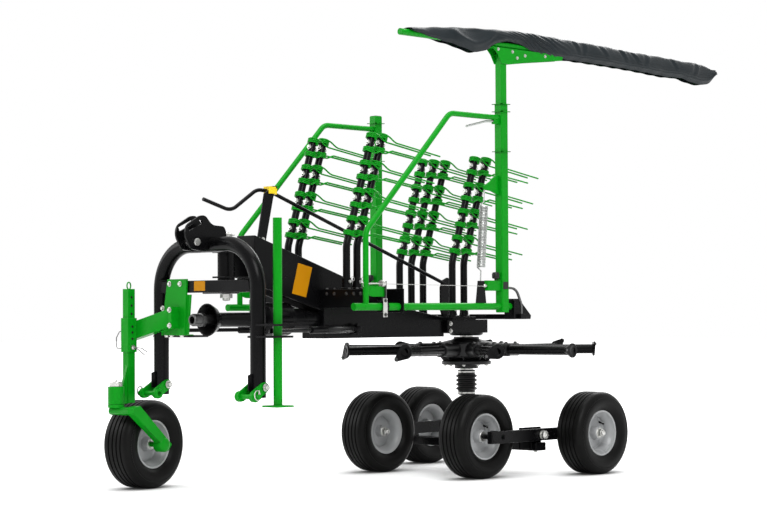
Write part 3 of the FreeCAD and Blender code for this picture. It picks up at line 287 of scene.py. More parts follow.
def softened(node, width, corners=()):
    # a CAD node's own shape, merged and with its sharp edges rounded, and with the corners of its
    # plates, given as y, z and offset, cut round
    v = {"merge": 0.00002, "flat": math.radians(0.5), "near": 0.0005, "cornerSteps": 6,
         "order": Vector((1.0, 31.7, 977.3))}
    bm = bmesh.new()
    bm.from_mesh(frame["nodes"][node].data)
    bmesh.ops.remove_doubles(bm, verts=bm.verts, dist=v["merge"])
    bmesh.ops.dissolve_limit(bm, angle_limit=v["flat"], verts=bm.verts, edges=bm.edges)
    for y, z, offset in corners:
        place = at(0, y, z)
        edges = [edge for edge in bm.edges if all(
            abs(vert.co.y - place.y) < v["near"] and abs(vert.co.z - place.z) < v["near"]
            for vert in edge.verts)]
        bmesh.ops.bevel(bm, geom=edges, offset=offset / 1000, segments=v["cornerSteps"], profile=0.5,
                        affect="EDGES")
    if corners:  # cutting leaves its corners in any order; this one is the same at every run
        bm.verts.sort(key=lambda vert: vert.co.dot(v["order"]))
        bm.faces.sort(key=lambda face: face.calc_center_median().dot(v["order"]))
    name = node + "Dressed"
    dressMesh(name, closeMesh(name, bm), slotFinish[slotOf[node]], bodyOf[node], roundedFrom, node, width)


def roundedPath(points, bend, steps=8):
    path = [points[0]]
    bend = bend / 1000
    for before, corner, after in zip(points, points[1:], points[2:]):
        arriving = (corner - before).normalized()
        leaving = (after - corner).normalized()
        turn = arriving.angle(leaving)
        entry = corner - arriving * bend * math.tan(turn / 2)
        inward = (leaving - arriving * leaving.dot(arriving)).normalized()
        for step in range(steps + 1):
            angle = turn * step / steps
            path.append(entry + arriving * bend * math.sin(angle) + inward * bend * (1 - math.cos(angle)))
    return path + [points[-1]]


def circle(spot, across, beside, radius, sides):
    turns = [2 * math.pi * step / sides for step in range(sides)]
    return [spot + (across * math.cos(t) + beside * math.sin(t)) * radius for t in turns]


def sweep(bm, path, radius, sides=20):
    # a round bar along a path
    across = (path[1] - path[0]).orthogonal().normalized()
    rings = []
    for index, spot in enumerate(path):
        ahead = (path[min(index + 1, len(path) - 1)] - path[max(index - 1, 0)]).normalized()
        across = (across - ahead * across.dot(ahead)).normalized()
        beside = ahead.cross(across)
        rings.append([bm.verts.new(place) for place in circle(spot, across, beside, radius / 1000, sides)])
    joinRings(bm, rings)


def joinRings(bm, rings, closed=False):
    for low, high in zip(rings, rings[1:] + (rings[:1] if closed else [])):
        for index in range(max(len(low), len(high))):
            ahead = (index + 1) % max(len(low), len(high))
            corners = [low[index % len(low)], low[ahead % len(low)], high[ahead % len(high)],
                       high[index % len(high)]]
            bm.faces.new(list(dict.fromkeys(corners)))
    if not closed:
        for ring in (rings[0], rings[-1]):
            if len(ring) > 2:
                bm.faces.new(ring)


def turned(bm, outline, centre, axis, sides=48, closed=False):
    # a turned shape from (radius, distance along the axis) points; radius 0 makes a pole
    axis = axis.normalized()
    across = axis.orthogonal().normalized()
    beside = axis.cross(across)
    rings = []
    for radius, along in outline:
        spot = centre + axis * (along / 1000)
        if radius == 0:
            rings.append([bm.verts.new(spot)])
        else:
            rings.append([bm.verts.new(place) for place in circle(spot, across, beside, radius / 1000,
                                                                  sides)])
    joinRings(bm, rings, closed)


def block(bm, *corners):
    # from two opposite corners, each x, y, z
    first, second = (at(*corner) for corner in corners)
    places = [(x, y, z) for x in sorted((first.x, second.x)) for y in sorted((first.y, second.y))
              for z in sorted((first.z, second.z))]
    verts = [bm.verts.new(place) for place in places]
    for face in ((0, 1, 3, 2), (4, 6, 7, 5), (0, 4, 5, 1), (2, 3, 7, 6), (0, 2, 6, 4), (1, 5, 7, 3)):
        bm.faces.new([verts[index] for index in face])


def slab(bm, outline, thick):
    # a flat plate: outline points in order, pushed by the vector thick
    near = [bm.verts.new(point) for point in outline]
    far = [bm.verts.new(point + thick) for point in outline]
    bm.faces.new(near)
    bm.faces.new(list(reversed(far)))
    for index in range(len(near)):
        ahead = (index + 1) % len(near)
        bm.faces.new([near[index], far[index], far[ahead], near[ahead]])


def plate(bm, x, thick, outline):
    # an upright plate square to X, from (y, z) points
    slab(bm, [at(x, y, z) for y, z in outline], mm(thick, 0, 0))


# Geometry Nodes: one tree lays wire along lines, the other puts copies of a piece on points

def wireTree():
    tree, given, result = newTree("GeometryNodeTree", "wireAlongLines", [
        ("Geometry", "Geometry", None), ("Wire Radius", "Float", 0.004), ("Sides", "Int", 8),
        ("Finish", "Material", None)], [("Geometry", "Geometry")])
    tree.is_modifier = True
    curve = addNode(tree, "GeometryNodeMeshToCurve", {"Mesh": given["Geometry"]}).outputs["Curve"]
    ring = addNode(tree, "GeometryNodeCurvePrimitiveCircle",
                   {"Radius": given["Wire Radius"], "Resolution": given["Sides"]}).outputs["Curve"]
    body = addNode(tree, "GeometryNodeCurveToMesh",
                   {"Curve": curve, "Profile Curve": ring, "Fill Caps": True}).outputs["Mesh"]
    paintResult(tree, body, given["Finish"], result)
    return tree


def paintResult(tree, geometry, finish, result):
    real = addNode(tree, "GeometryNodeRealizeInstances", {"Geometry": geometry}).outputs["Geometry"]
    painted = addNode(tree, "GeometryNodeSetMaterial", {"Geometry": real, "Material": finish})
    tree.links.new(painted.outputs["Geometry"], result["Geometry"])


def enabled(sockets, name):
    return next(socket for socket in sockets if socket.enabled and socket.name == name)


def copyTree():
    tree, given, result = newTree("GeometryNodeTree", "copiesOnPoints", [
        ("Geometry", "Geometry", None), ("Piece", "Object", None), ("Finish", "Material", None),
        ("Loose Turn", "Float", 0.0), ("Size", "Float", 1.0), ("Seed", "Int", 3)],
        [("Geometry", "Geometry")])
    tree.is_modifier = True
    info = addNode(tree, "GeometryNodeObjectInfo", {"Object": given["Piece"]})
    aim = addNode(tree, "GeometryNodeInputNamedAttribute", {"Name": "aim"}, data_type="FLOAT_VECTOR")
    facing = addNode(tree, "FunctionNodeEulerToRotation", {"Euler": enabled(aim.outputs, "Attribute")})
    chance = addNode(tree, "FunctionNodeRandomValue", {"Seed": given["Seed"]}, data_type="FLOAT")
    tree.links.new(given["Loose Turn"], enabled(chance.inputs, "Max"))
    twist = addNode(tree, "ShaderNodeCombineXYZ", {"Z": enabled(chance.outputs, "Value")})
    loose = addNode(tree, "FunctionNodeEulerToRotation", {"Euler": twist.outputs["Vector"]})
    both = addNode(tree, "FunctionNodeRotateRotation", {
        "Rotation": facing.outputs["Rotation"], "Rotate By": loose.outputs["Rotation"]},
        rotation_space="LOCAL")
    placed = addNode(tree, "GeometryNodeInstanceOnPoints", {
        "Points": given["Geometry"], "Instance": info.outputs["Geometry"],
        "Rotation": both.outputs["Rotation"], "Scale": given["Size"]})
    paintResult(tree, placed.outputs["Instances"], given["Finish"], result)
    return tree


wireOnLines, copiesOnPoints = wireTree(), copyTree()


def bakeTree(source, tree, values):
    # the tree's result as a plain mesh; the source and its modifier are dropped
    carrier = bpy.data.objects.new("carrier", source)
    scene.collection.objects.link(carrier)
    modifier = carrier.modifiers.new("nodes", "NODES")
    modifier.node_group = tree
    for item in tree.interface.items_tree:
        if item.item_type == "SOCKET" and item.in_out == "INPUT" and item.name in values:
            modifier[item.identifier] = values[item.name]
    graph = bpy.context.evaluated_depsgraph_get()
    mesh = bpy.data.meshes.new_from_object(carrier.evaluated_get(graph), depsgraph=graph)
    carrier.modifiers.remove(modifier)
    bpy.data.objects.remove(carrier)
    return mesh


def wireMesh(paths, radius, sides=8, **values):
    points, edges = [], []
    for path in paths:
        first = len(points)
        points += [tuple(p) for p in path]
        edges += [(first + index, first + index + 1) for index in range(len(path) - 1)]
    mesh = bpy.data.meshes.new("lines")
    mesh.from_pydata(points, edges, [])
    return bakeTree(mesh, wireOnLines, {"Wire Radius": radius / 1000, "Sides": sides, **values})


def wires(name, paths, radius, finish, body, sides=8, replaced=None):
    mesh = wireMesh(paths, radius, sides, Finish=finishes[finish])
    dressMesh(name, mesh, finish, body, 50.0, replaced)


def copies(name, pattern, spots, finish, body, looseTurn=0.0, smooth=38.0):
    # spots are (place, matrix or direction of the copy's own Z)
    mesh = bpy.data.meshes.new("points")
    mesh.from_pydata([tuple(place) for place, _ in spots], [], [])
    aims = mesh.attributes.new("aim", "FLOAT_VECTOR", "POINT")
    for index, (_, facing) in enumerate(spots):
        turn = facing if isinstance(facing, Matrix) else facing.to_track_quat("Z", "Y")
        aims.data[index].vector = turn.to_euler()
    source = bpy.data.objects.new("pattern", pattern)
    scene.collection.objects.link(source)
    made = bakeTree(mesh, copiesOnPoints, {"Piece": source, "Finish": finishes[finish],
                                           "Loose Turn": looseTurn})
    bpy.data.objects.remove(source)
    dressMesh(name, made, finish, body, smooth)


def boltPattern(radius, head, washer=1.45):
    # a washer and a six-sided head with a rounded top, standing on the surface
    v = {"sunk": -2, "rim": 1.6, "foot": 1.5, "washerTop": (1.2, 1.8), "chamfer": (0.88, 0.85)}
    share, height = v["washerTop"]
    flat, corner = v["chamfer"]
    return shapedMesh("bolt", [
        (turned, [(radius * washer, v["sunk"]), (radius * washer, v["rim"]), (radius * share, height)],
         Vector(), zAxis, 20),
        (turned, [(radius, v["foot"]), (radius, head * corner), (radius * flat, head)], Vector(), zAxis, 6)])


def boltSet(name, body, radius, spots, finish="zincSteel"):
    # each spot is x, y, z and the direction its bolt faces
    places = [(at(x, y, z), aim) for x, y, z, aim in spots]
    copies(name, boltPattern(radius, radius * 1.05), places, finish, body, 1.0)


def ringPath(centre, axis, radius, steps=20):
    across = axis.orthogonal().normalized()
    path = circle(centre, across, axis.normalized().cross(across), radius / 1000, steps)
    return path + path[:1]


def through(knots, value):
    # a smooth curve through (place, value) knots
    knots = [knots[0]] + list(knots) + [knots[-1]]
    for before, low, high, after in zip(knots, knots[1:], knots[2:], knots[3:]):
        if low[0] < high[0] and (value <= high[0] or after == high):
            run = high[0] - low[0]
            share = min(max((value - low[0]) / run, 0.0), 1.0)
            leaving = (high[1] - before[1]) / (high[0] - before[0]) * run
            arriving = (after[1] - low[1]) / (after[0] - low[0]) * run
            square, cube = share * share, share ** 3
            return (low[1] * (2 * cube - 3 * square + 1) + leaving * (cube - 2 * square + share)
                    + high[1] * (3 * square - 2 * cube) + arriving * (cube - square))
    return knots[-1][1]


print("tools ready")


# Wheels

def wheelPieces():
    v = {
        "radius": 205, "sides": 72, "rimSides": 56,
        "grooves": (36, 12, -12, -36), "lip": 4.2, "depth": 5.5, "lipRound": (0.8, 0.6), "slope": 1.8,
        "crown": [(101, 46), (109, 56), (115, 62), (121, 69.5), (133, 77.5), (146, 81.5), (158, 82.5),
                  (170, 81.5), (174.5, 80), (176.5, 81.2), (183, 79), (193, 73), (200, 65.5), (203.5, 59),
                  (204.6, 51)],
        "rim": [(104.5, -58), (112.5, -60), (114.5, -57.5), (113, -55.5), (103.5, -54.5), (98, -45),
                (85, -36), (84, 20), (98, 40), (103.5, 54.5), (113, 55.5), (114.5, 57.5), (112.5, 60),
                (104.5, 59), (101.5, 50), (96, 40), (82, 24), (80, 6), (74, 2), (60, 4.5), (42, 4),
                (34.5, 8), (32.5, 18), (31.5, 40), (29, 43), (24, 43.6), (23.5, 34), (13, 34), (13, -40),
                (30, -40), (32, -10), (79, -4), (80, -30), (94, -52)],
        "washer": [(13, 40), (25, 40), (25, 44), (23.5, 45.5), (13, 45.5)],
        "nut": [(13, 45), (20.5, 45), (20.5, 62), (18.5, 64), (13, 64)],
        "dome": [(14, 60), (14, 69), (12, 72.5), (7, 74.5), (0, 75)],
        "stem": [(5.2, -4), (5.2, 8), (3.6, 12), (3.6, 26), (4.8, 26.5), (4.8, 34), (3, 36)],
        "stemOut": 0.070, "stemAlong": 0.004, "stemLean": (0.9, 0.3), "swivel": math.radians(9),
        # the outward side of each wheel, and the side of it on which its axle ends
        "places": {"left_front": (1, -1), "left_rear": (1, 1), "right_front": (-1, -1),
                   "right_rear": (-1, 1), "support_wheel": (1, -1)},
    }
    groove = [(0, v["lip"]), (v["lipRound"][0], v["lip"] - v["lipRound"][1]),
              (v["depth"], v["lip"] - v["slope"])]
    groove += [(sunk, -reach) for sunk, reach in reversed(groove)]
    tread = [(v["radius"] - sunk, spot + reach) for spot in v["grooves"] for sunk, reach in groove]
    tyre = v["crown"] + tread + [(radius, -along) for radius, along in reversed(v["crown"])]
    for name, (side, nutSide) in v["places"].items():
        low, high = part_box(name + "_tyre")
        centre = (low + high) / 2
        body = bodyOf[name + "_tyre"]
        axis = Vector((side, 0, 0))
        if name == "support_wheel":
            axis = Vector((math.cos(v["swivel"]), math.sin(v["swivel"]), 0))
        nutAxis = axis * nutSide
        beside = axis.orthogonal().normalized()
        addPiece(name + "Tyre", "tyreRubber", body, (turned, tyre, centre, axis, v["sides"], True),
                 smooth=32.0, replaced=name + "_tyre")
        addPiece(name + "Rim", "rimPaint", body, (turned, v["rim"], centre, axis, v["rimSides"], True),
                 replaced=name + "_rim")
        addPiece(name + "HubNut", "zincSteel", body,
                 (turned, v["washer"], centre, nutAxis, 32, True),
                 (turned, v["nut"], centre, nutAxis, 6, True), (turned, v["dome"], centre, nutAxis, 20),
                 (turned, v["washer"], centre, -nutAxis, 32, True))
        stem = centre + beside * v["stemOut"] + axis * v["stemAlong"]
        lean = (axis * v["stemLean"][0] - beside * v["stemLean"][1]).normalized()
        addPiece(name + "Valve", "bellowsRubber", body, (turned, v["stem"], stem, lean, 12))


wheelPieces()
print("wheels made")


# Tine arms: tube, spring tines and their bolts

# where the arms of each group stand, their number, spacing and length below the bend
armGroups = {
    "left_front_arms": (200, 2, 0.069, 0.207), "right_front_arms": (-200, 2, 0.069, 0.207),
    "left_rear_arms": (140, 2, 0.086, 0.270), "right_rear_arms": (-140, 3, 0.086, 0.270),
}
armTube = 0.0175


def armFeet(node):
    x, count, step, _ = armGroups[node]
    low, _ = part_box(node)
    firstY = low.y + armTube / math.cos(math.pi / 6)  # the CAD tube is drawn with flat sides
    return [Vector((x / 1000, firstY + index * step, low.z)) for index in range(count)]


def tinePath(upper):
    # x aside, y back, z along the arm; the coil is wound towards the side its tine leaves
    v = {
        "coilRadius": 0.0250, "turns": 3.0, "steps": 18, "half": 0.0122, "length": 0.385, "step": 0.070,
        "upper": (0.0005, 0.0515), "lower": (0.0220, 0.0660),
        "ease": [(0.012, 0.03), (0.026, 0.14), (0.040, 0.42), (0.052, 0.72), (0.064, 0.92), (0.080, 1.0)],
    }
    outer = v["half"] if upper else -v["half"]
    reach = v["length"] - (0 if upper else v["step"])
    level, tip = v["upper" if upper else "lower"]
    count = int(v["steps"] * v["turns"])
    path = []
    for index in range(count + 1):
        share = index / count
        angle = -2 * math.pi * v["turns"] * (1 - share)
        path.append(Vector((v["coilRadius"] * math.cos(angle), v["coilRadius"] * math.sin(angle),
                            outer * (2 * share - 1))))
    # leaves the coil's side, eases over in an S, then runs straight to the tip
    for y, share in v["ease"]:
        path.append(Vector((v["coilRadius"], y, outer + (level - outer) * share)))
    return path + [Vector((v["coilRadius"], reach, tip))]


def armPieces():
    v = {"bend": math.radians(18.4), "bendRadius": 110, "highLength": 0.560, "firstCoil": 0.015,
         "pitch": 0.140, "spacing": 0.066, "pairs": 4, "wire": 4.1}
    along = Vector((0, math.sin(v["bend"]), math.cos(v["bend"])))
    back = Vector((0, math.cos(v["bend"]), -math.sin(v["bend"])))
    armTurn = Matrix((xAxis, back, along)).transposed()  # the arm's own axes: aside, back, along
    patterns = [wireMesh([tinePath(upper)], v["wire"]) for upper in (True, False)]
    for node, (_, _, _, foot) in armGroups.items():
        body = bodyOf[node]
        tubes, upper, lower, bolts = [], [], [], []
        for base in armFeet(node):
            knee = base + zAxis * foot
            tip = knee + along * v["highLength"]
            tubes.append((sweep, roundedPath([base, knee, tip], v["bendRadius"]), armTube * 1000, 24))
            for pair in range(v["pairs"]):
                depth = v["firstCoil"] + pair * v["pitch"]
                upper.append((tip - along * depth, armTurn))
                lower.append((tip - along * (depth + v["spacing"]), armTurn))
                middle = tip - along * (depth + v["spacing"] / 2)
                bolts += [(middle + back * side * armTube, back * side) for side in (1, -1)]
        addPiece(node + "Tubes", "blackPaint", body, *tubes, replaced=node)
        copies(node + "UpperTines", patterns[0], upper, "greenPaint", body, smooth=50.0)
        copies(node + "LowerTines", patterns[1], lower, "greenPaint", body, smooth=50.0)
        copies(node + "TineBolts", boltPattern(9.5, 9, 1.25), bolts, "zincSteel", body, 1.0)


armPieces()
print("tine arms made")


# Plates, boxes and welded parts keep the shapes of their nodes, with softened edges

def plainNodes():
    widths = {
        "main_beam": 3, "beam_end_frame": 2, "axle_beam": 3, "left_bogie_beam": 3, "right_bogie_beam": 3,
        "front_arm_rack": 2.5, "rear_arm_rack": 1.5, "front_guard_hanger": 1.2, "rear_guard_hanger": 1.2,
        "headstock_crossbar": 3, "pivot_fork": 1.5, "upper_link_plates": 1.2,
        "left_lower_link_lugs": 1.5, "right_lower_link_lugs": 1.5, "stand_guide": 1.2,
        "strut_bracket": 1.2, "strut_lugs": 1, "support_wheel_arm": 2, "support_wheel_post": 3,
        "castor_fork": 3, "crank_bracket": 1, "crank_holder": 1, "curtain_arm": 3, "pivot_barrel": 1.5,
    }
    corners = {"upper_link_plates": [
        (-1905, 1160, 19), (-1897, 1204, 19), (-1815, 1250, 13), (-1785, 1250, 12), (-1745, 1208, 18),
        (-1675, 1204, 10), (-1661, 1180, 8), (-1810, 1092, 18), (-1870, 1096, 20)]}
    for node, width in widths.items():
        softened(node, width, corners.get(node, ()))


plainNodes()


# Tubes of the headstock, the guards and the crank

guardX, postY, hingeZ, postHalf = 430, -214, 838, 24
headY = -1737


def tubePieces():
    v = {
        "hoop": [(-330, 440), (-330, 1120), (330, 1120), (330, 440)], "hoopBend": 200, "hoopRadius": 35,
        "guard": [(-1163, hingeZ), (-1163, 1182), (-588, 1761), (postY, 1761)], "guardBend": 70,
        "guardRadius": 13.5, "hinge": (-1243, -148), "hingeRadius": 17,
        "crank": [(-1767, 1326), (-1600, 1278), (-1440, 1382), (-1360, 1376), (-159, 954)],
        "crankBend": 85, "crankRadius": 9, "postLow": 808, "postTop": 1830, "capHalf": 20.5,
        "bar": (-930, 1570), "barZ": 2120, "barRadius": 16,
        "barPlate": [(-234, 2075), (-194, 2075), (-94, 2118), (-274, 2118)],
        "stand": (407, -1690), "standLow": 400, "standTop": 1230, "standRadius": 20, "standFoot": (50, 8),
    }
    hoop = roundedPath([at(x, headY, z) for x, z in v["hoop"]], v["hoopBend"], 16)
    addPiece("headstockHoop", "blackPaint", "headstock", (sweep, hoop, v["hoopRadius"], 40),
             replaced="headstock_hoop", bevel=2)
    for side, sign in bothSides:
        x, body = guardX * sign, side + "_guard"
        hinge = [at(x, y, hingeZ) for y in v["hinge"]]
        path = roundedPath([at(x, y, z) for y, z in v["guard"]], v["guardBend"], 10)
        addPiece(side + "GuardTubes", "greenPaint", body, (sweep, path, v["guardRadius"], 24),
                 (sweep, hinge, v["hingeRadius"], 28), replaced=body + "_frame", bevel=1)
        addPiece(side + "GuardPost", "greenPaint", body,
                 (block, (x - postHalf, postY - postHalf, v["postLow"]),
                  (x + postHalf, postY + postHalf, v["postTop"])), bevel=5, segments=3)
    half, top = v["capHalf"], v["postTop"]
    addPiece("rightPostCap", "bellowsRubber", "right_guard",
             (block, (-guardX - half, postY - half, top - 0.5), (-guardX + half, postY + half, top + 1.5)),
             bevel=0.9)
    crank = roundedPath([at(0, y, z) for y, z in v["crank"]], v["crankBend"], 12)
    addPiece("heightCrank", "blackPaint", "chassis", (sweep, crank, v["crankRadius"], 20),
             replaced="height_crank", bevel=1.5)
    bar = [at(guardX, y, v["barZ"]) for y in v["bar"]]
    addPiece("curtainBar", "greenPaint", "curtain", (sweep, bar, v["barRadius"], 24),
             (plate, guardX - 4, 8, v["barPlate"]), replaced="curtain_bar", bevel=1)
    (x, y), low, (half, thick) = v["stand"], v["standLow"], v["standFoot"]
    addPiece("parkingStand", "greenPaint", "stand",
             (sweep, [at(x, y, low), at(x, y, v["standTop"])], v["standRadius"], 32),
             (block, (x - half, y - half, low), (x + half, y + half, low + thick)),
             replaced="parking_stand", bevel=1.5)


tubePieces()
print("tubes made")


# Drive line, column, rotor and struts

shaftZ = 782


def turnedPieces():
    v = {
        "guard": [(74, -1745), (73.5, -1743.5), (72.5, -1742), (60, -1715), (39, -1692), (34, -1686),
                  (33, -1680), (33, -1425), (36, -1420), (73, -1420), (77, -1418), (78, -1412), (78, -1270),
                  (76.5, -1264), (73, -1262), (50, -1262), (50, -1000), (26, -1000), (26, -1685),
                  (68, -1745)],
        "shaft": [(0, -1774), (17.5, -1774), (17.5, -1834), (24.5, -1834), (26, -1832), (26, -1790),
                  (31, -1788), (31, -1768), (23, -1764), (23, -1002), (0, -1002)],
        "case": [(0, 692), (70, 692), (82, 696), (86, 702), (86, 744), (90, 748), (90, 760.5), (0, 760.5)],
        "clamp": [(43.5, 0), (45.2, 0.5), (45.5, 4), (45.2, 7.5), (43.5, 8)], "screw": (-10, -56, 10, -43),
        "column": [(32.5, 163), (32.5, 692)],
        "pleat": [(44.5, -8.5), (52, -3.5), (54.8, -1.2), (54.8, 1.2), (52, 3.5), (44.5, 8.5)],
        "pleats": 4, "pleatPitch": 21.2, "firstPleat": 421.8,
        "bellowsLow": [(33.5, 390), (42, 390), (44, 394), (44, 408)],
        "bellowsTop": [(44, 499), (44, 513), (42, 517), (33.5, 517)], "clampLevels": (396, 503),
    }
    axis, column = at(0, 0, shaftZ), at(0, 0, 0)
    addPiece("driveGuard", "blackPaint", "chassis", (turned, v["guard"], axis, yAxis, 48, True),
             smooth=35.0, replaced="drive_guard")
    addPiece("driveShaft", "darkSteel", "drive", (turned, v["shaft"], axis, yAxis, 40), smooth=35.0,
             replaced="drive_shaft")
    addPiece("rotorColumn", "zincSteel", "chassis", (turned, v["column"], column, zAxis, 40), smooth=35.0,
             replaced="rotor_column")
    pleats = [(radius, v["firstPleat"] + v["pleatPitch"] * index + z) for index in range(v["pleats"])
              for radius, z in v["pleat"]]
    bellows = v["bellowsLow"] + pleats + v["bellowsTop"]
    addPiece("columnBellows", "bellowsRubber", "chassis", (turned, bellows, column, zAxis, 48, True),
             smooth=50.0, replaced="column_bellows")
    shapes = []
    left, front, right, rear = v["screw"]
    for low in v["clampLevels"]:
        shapes += [(turned, [(radius, low + z) for radius, z in v["clamp"]], column, zAxis, 40, True),
                   (block, (left, front, low - 1), (right, rear, low + 9))]
    addPiece("bellowsClamps", "zincSteel", "chassis", *shapes, bevel=0.6)
    addPiece("gearCase", "castIron", "chassis", (turned, v["case"], column, zAxis, 64), smooth=35.0,
             replaced="gear_case")


turnedPieces()


def rotorPieces():
    v = {
        "stubs": 9, "first": math.radians(5), "earDip": math.radians(38),
        "hub": [(33, 524), (58, 524), (60.5, 527), (60.5, 541), (64, 544), (120, 544), (126, 547),
                (126, 560), (122, 563), (90, 566), (94, 572), (118, 578), (133.5, 583), (139.5, 590),
                (139.5, 650), (134, 657), (108, 664), (70, 673), (66, 676), (64, 683), (62, 684), (33, 684)],
        "stub": [(0, 595), (17, 595), (17, 654), (18.5, 655), (34.5, 655), (36, 653.5), (36, 646.5),
                 (34.5, 645), (26.5, 645), (24, 641.5), (24, 272), (0, 272)],
        "boss": [(0, 100), (38, 100), (38, 146), (36.5, 156), (33, 162), (33, 262), (31.8, 268), (29, 270),
                 (0, 270)],
        "ear": [(-4, 35.5), (12, 33.5), (59, 12.5), (66, 10.5), (71, 5.5), (73, 0), (71, -5.5), (66, -10.5),
                (59, -12.5), (12, -33.5), (-4, -35.5)],
        "web": [(62, 560), (118, 563), (136, 585), (136, 600), (62, 600)],
        "earOut": 0.6455, "earThick": 0.009, "earBolt": (0.6545, 0.058), "bossBolts": (0.176, 0.250),
        "bossBoltRise": 0.0325, "webHalf": 0.004, "flangeBolt": (0.108, 543.5),
    }
    (boltOut, boltReach), (flangeRadius, flangeZ) = v["earBolt"], v["flangeBolt"]
    centre, column = at(0, 0, 620), at(0, 0, 0)
    stubs, bosses, ribs = [], [], []
    bolts, flangeBolts, earBolts = [], [], []
    for index in range(v["stubs"]):
        angle = v["first"] + 2 * math.pi * index / v["stubs"]
        out = Vector((math.cos(angle), math.sin(angle), 0))
        side = Vector((-math.sin(angle), math.cos(angle), 0))
        # a pear-shaped ear for the arm's pin, dipped in front and lifted behind by the cam inside
        dip = v["earDip"] * -math.sin(angle)
        reach = side * -math.cos(dip) - zAxis * math.sin(dip)
        beside = out.cross(reach)
        ear = [centre + out * v["earOut"] + reach * (a / 1000) + beside * (b / 1000) for a, b in v["ear"]]
        stubs += [(turned, v["stub"], centre, out, 28), (slab, ear, out * v["earThick"])]
        earBolts.append((centre + out * boltOut + reach * boltReach, out))
        bosses.append((turned, v["boss"], centre, out, 32))
        bolts += [(centre + out * place + zAxis * v["bossBoltRise"], zAxis) for place in v["bossBolts"]]
        # web between neighbouring bosses
        turn = angle + math.pi / v["stubs"]
        aim = Vector((math.cos(turn), math.sin(turn), 0))
        across = Vector((-math.sin(turn), math.cos(turn), 0))
        web = [column + aim * (r / 1000) + zAxis * (z / 1000) - across * v["webHalf"] for r, z in v["web"]]
        ribs.append((slab, web, across * v["webHalf"] * 2))
        flangeBolts.append((at(0, 0, flangeZ) + aim * flangeRadius, -zAxis))
    addPiece("rotorCasting", "castIron", "rotor", (turned, v["hub"], column, zAxis, 72, True),
             smooth=32.0, replaced="rotor_hub")
    addPiece("rotorStubTubes", "blackPaint", "rotor", *stubs, replaced="rotor_stubs",
             bevel=0.8)
    addPiece("rotorBosses", "castIron", "rotor", *bosses, smooth=35.0)
    addPiece("rotorRibs", "castIron", "rotor", *ribs, smooth=35.0, bevel=2)
    copies("stubBolts", boltPattern(7.5, 8), bolts, "darkSteel", "rotor", 1.0)
    copies("flangeBolts", boltPattern(6.5, 7), flangeBolts, "zincSteel", "rotor", 1.0)
    copies("earBolts", boltPattern(5.2, 6), earBolts, "darkSteel", "rotor", 1.0)


rotorPieces()


def strutPieces():
    v = {
        "rear": (100, -890), "front": (352, -1658), "z": 733, "barrelEnd": 0.58, "rodFoot": 0.3,
        "rodEnd": 0.975, "pin": [(0, 712), (8, 712), (8, 755), (0, 755)],
        "rearEye": [(8.5, -12), (22, -12), (22.5, -10), (22.5, 10), (22, 12), (8.5, 12)],
        "frontEye": [(17.8, -10), (24, -10), (25, -8), (25, 8), (24, 10), (17.8, 10)],
    }
    pins = []
    for side, sign in bothSides:
        rear, front = (at(v[end][0] * sign, v[end][1], v["z"]) for end in ("rear", "front"))
        run = front - rear
        length = run.length * 1000
        barrelEnd, rodFoot, rodEnd = (length * v[part] for part in ("barrelEnd", "rodFoot", "rodEnd"))
        barrel = [(0, 18), (9, 18), (9, 48), (15.5, 50), (17, 53), (17, barrelEnd - 3), (15.5, barrelEnd),
                  (0, barrelEnd)]
        rod = [(0, rodFoot), (9, rodFoot), (9, rodEnd), (0, rodEnd)]
        addPiece(side + "StrutBarrel", "blackPaint", side + "_strut_barrel", (turned, barrel, rear, run, 28),
                 (turned, v["rearEye"], rear, zAxis, 28, True),
                 replaced=side + "_strut_barrel")
        addPiece(side + "StrutRod", "blackPaint", side + "_strut_rod", (turned, rod, rear, run, 24),
                 (turned, v["frontEye"], front, zAxis, 28, True), replaced=side + "_strut_rod")
        pins.append((turned, v["pin"], at(v["front"][0] * sign, v["front"][1], 0), zAxis, 20))
    addPiece("strutFrontPins", "zincSteel", "headstock", *pins, replaced="strut_front_pins")


strutPieces()
print("drive line, rotor and struts made")


# Pivot pin with its castle nut, and the assist spring

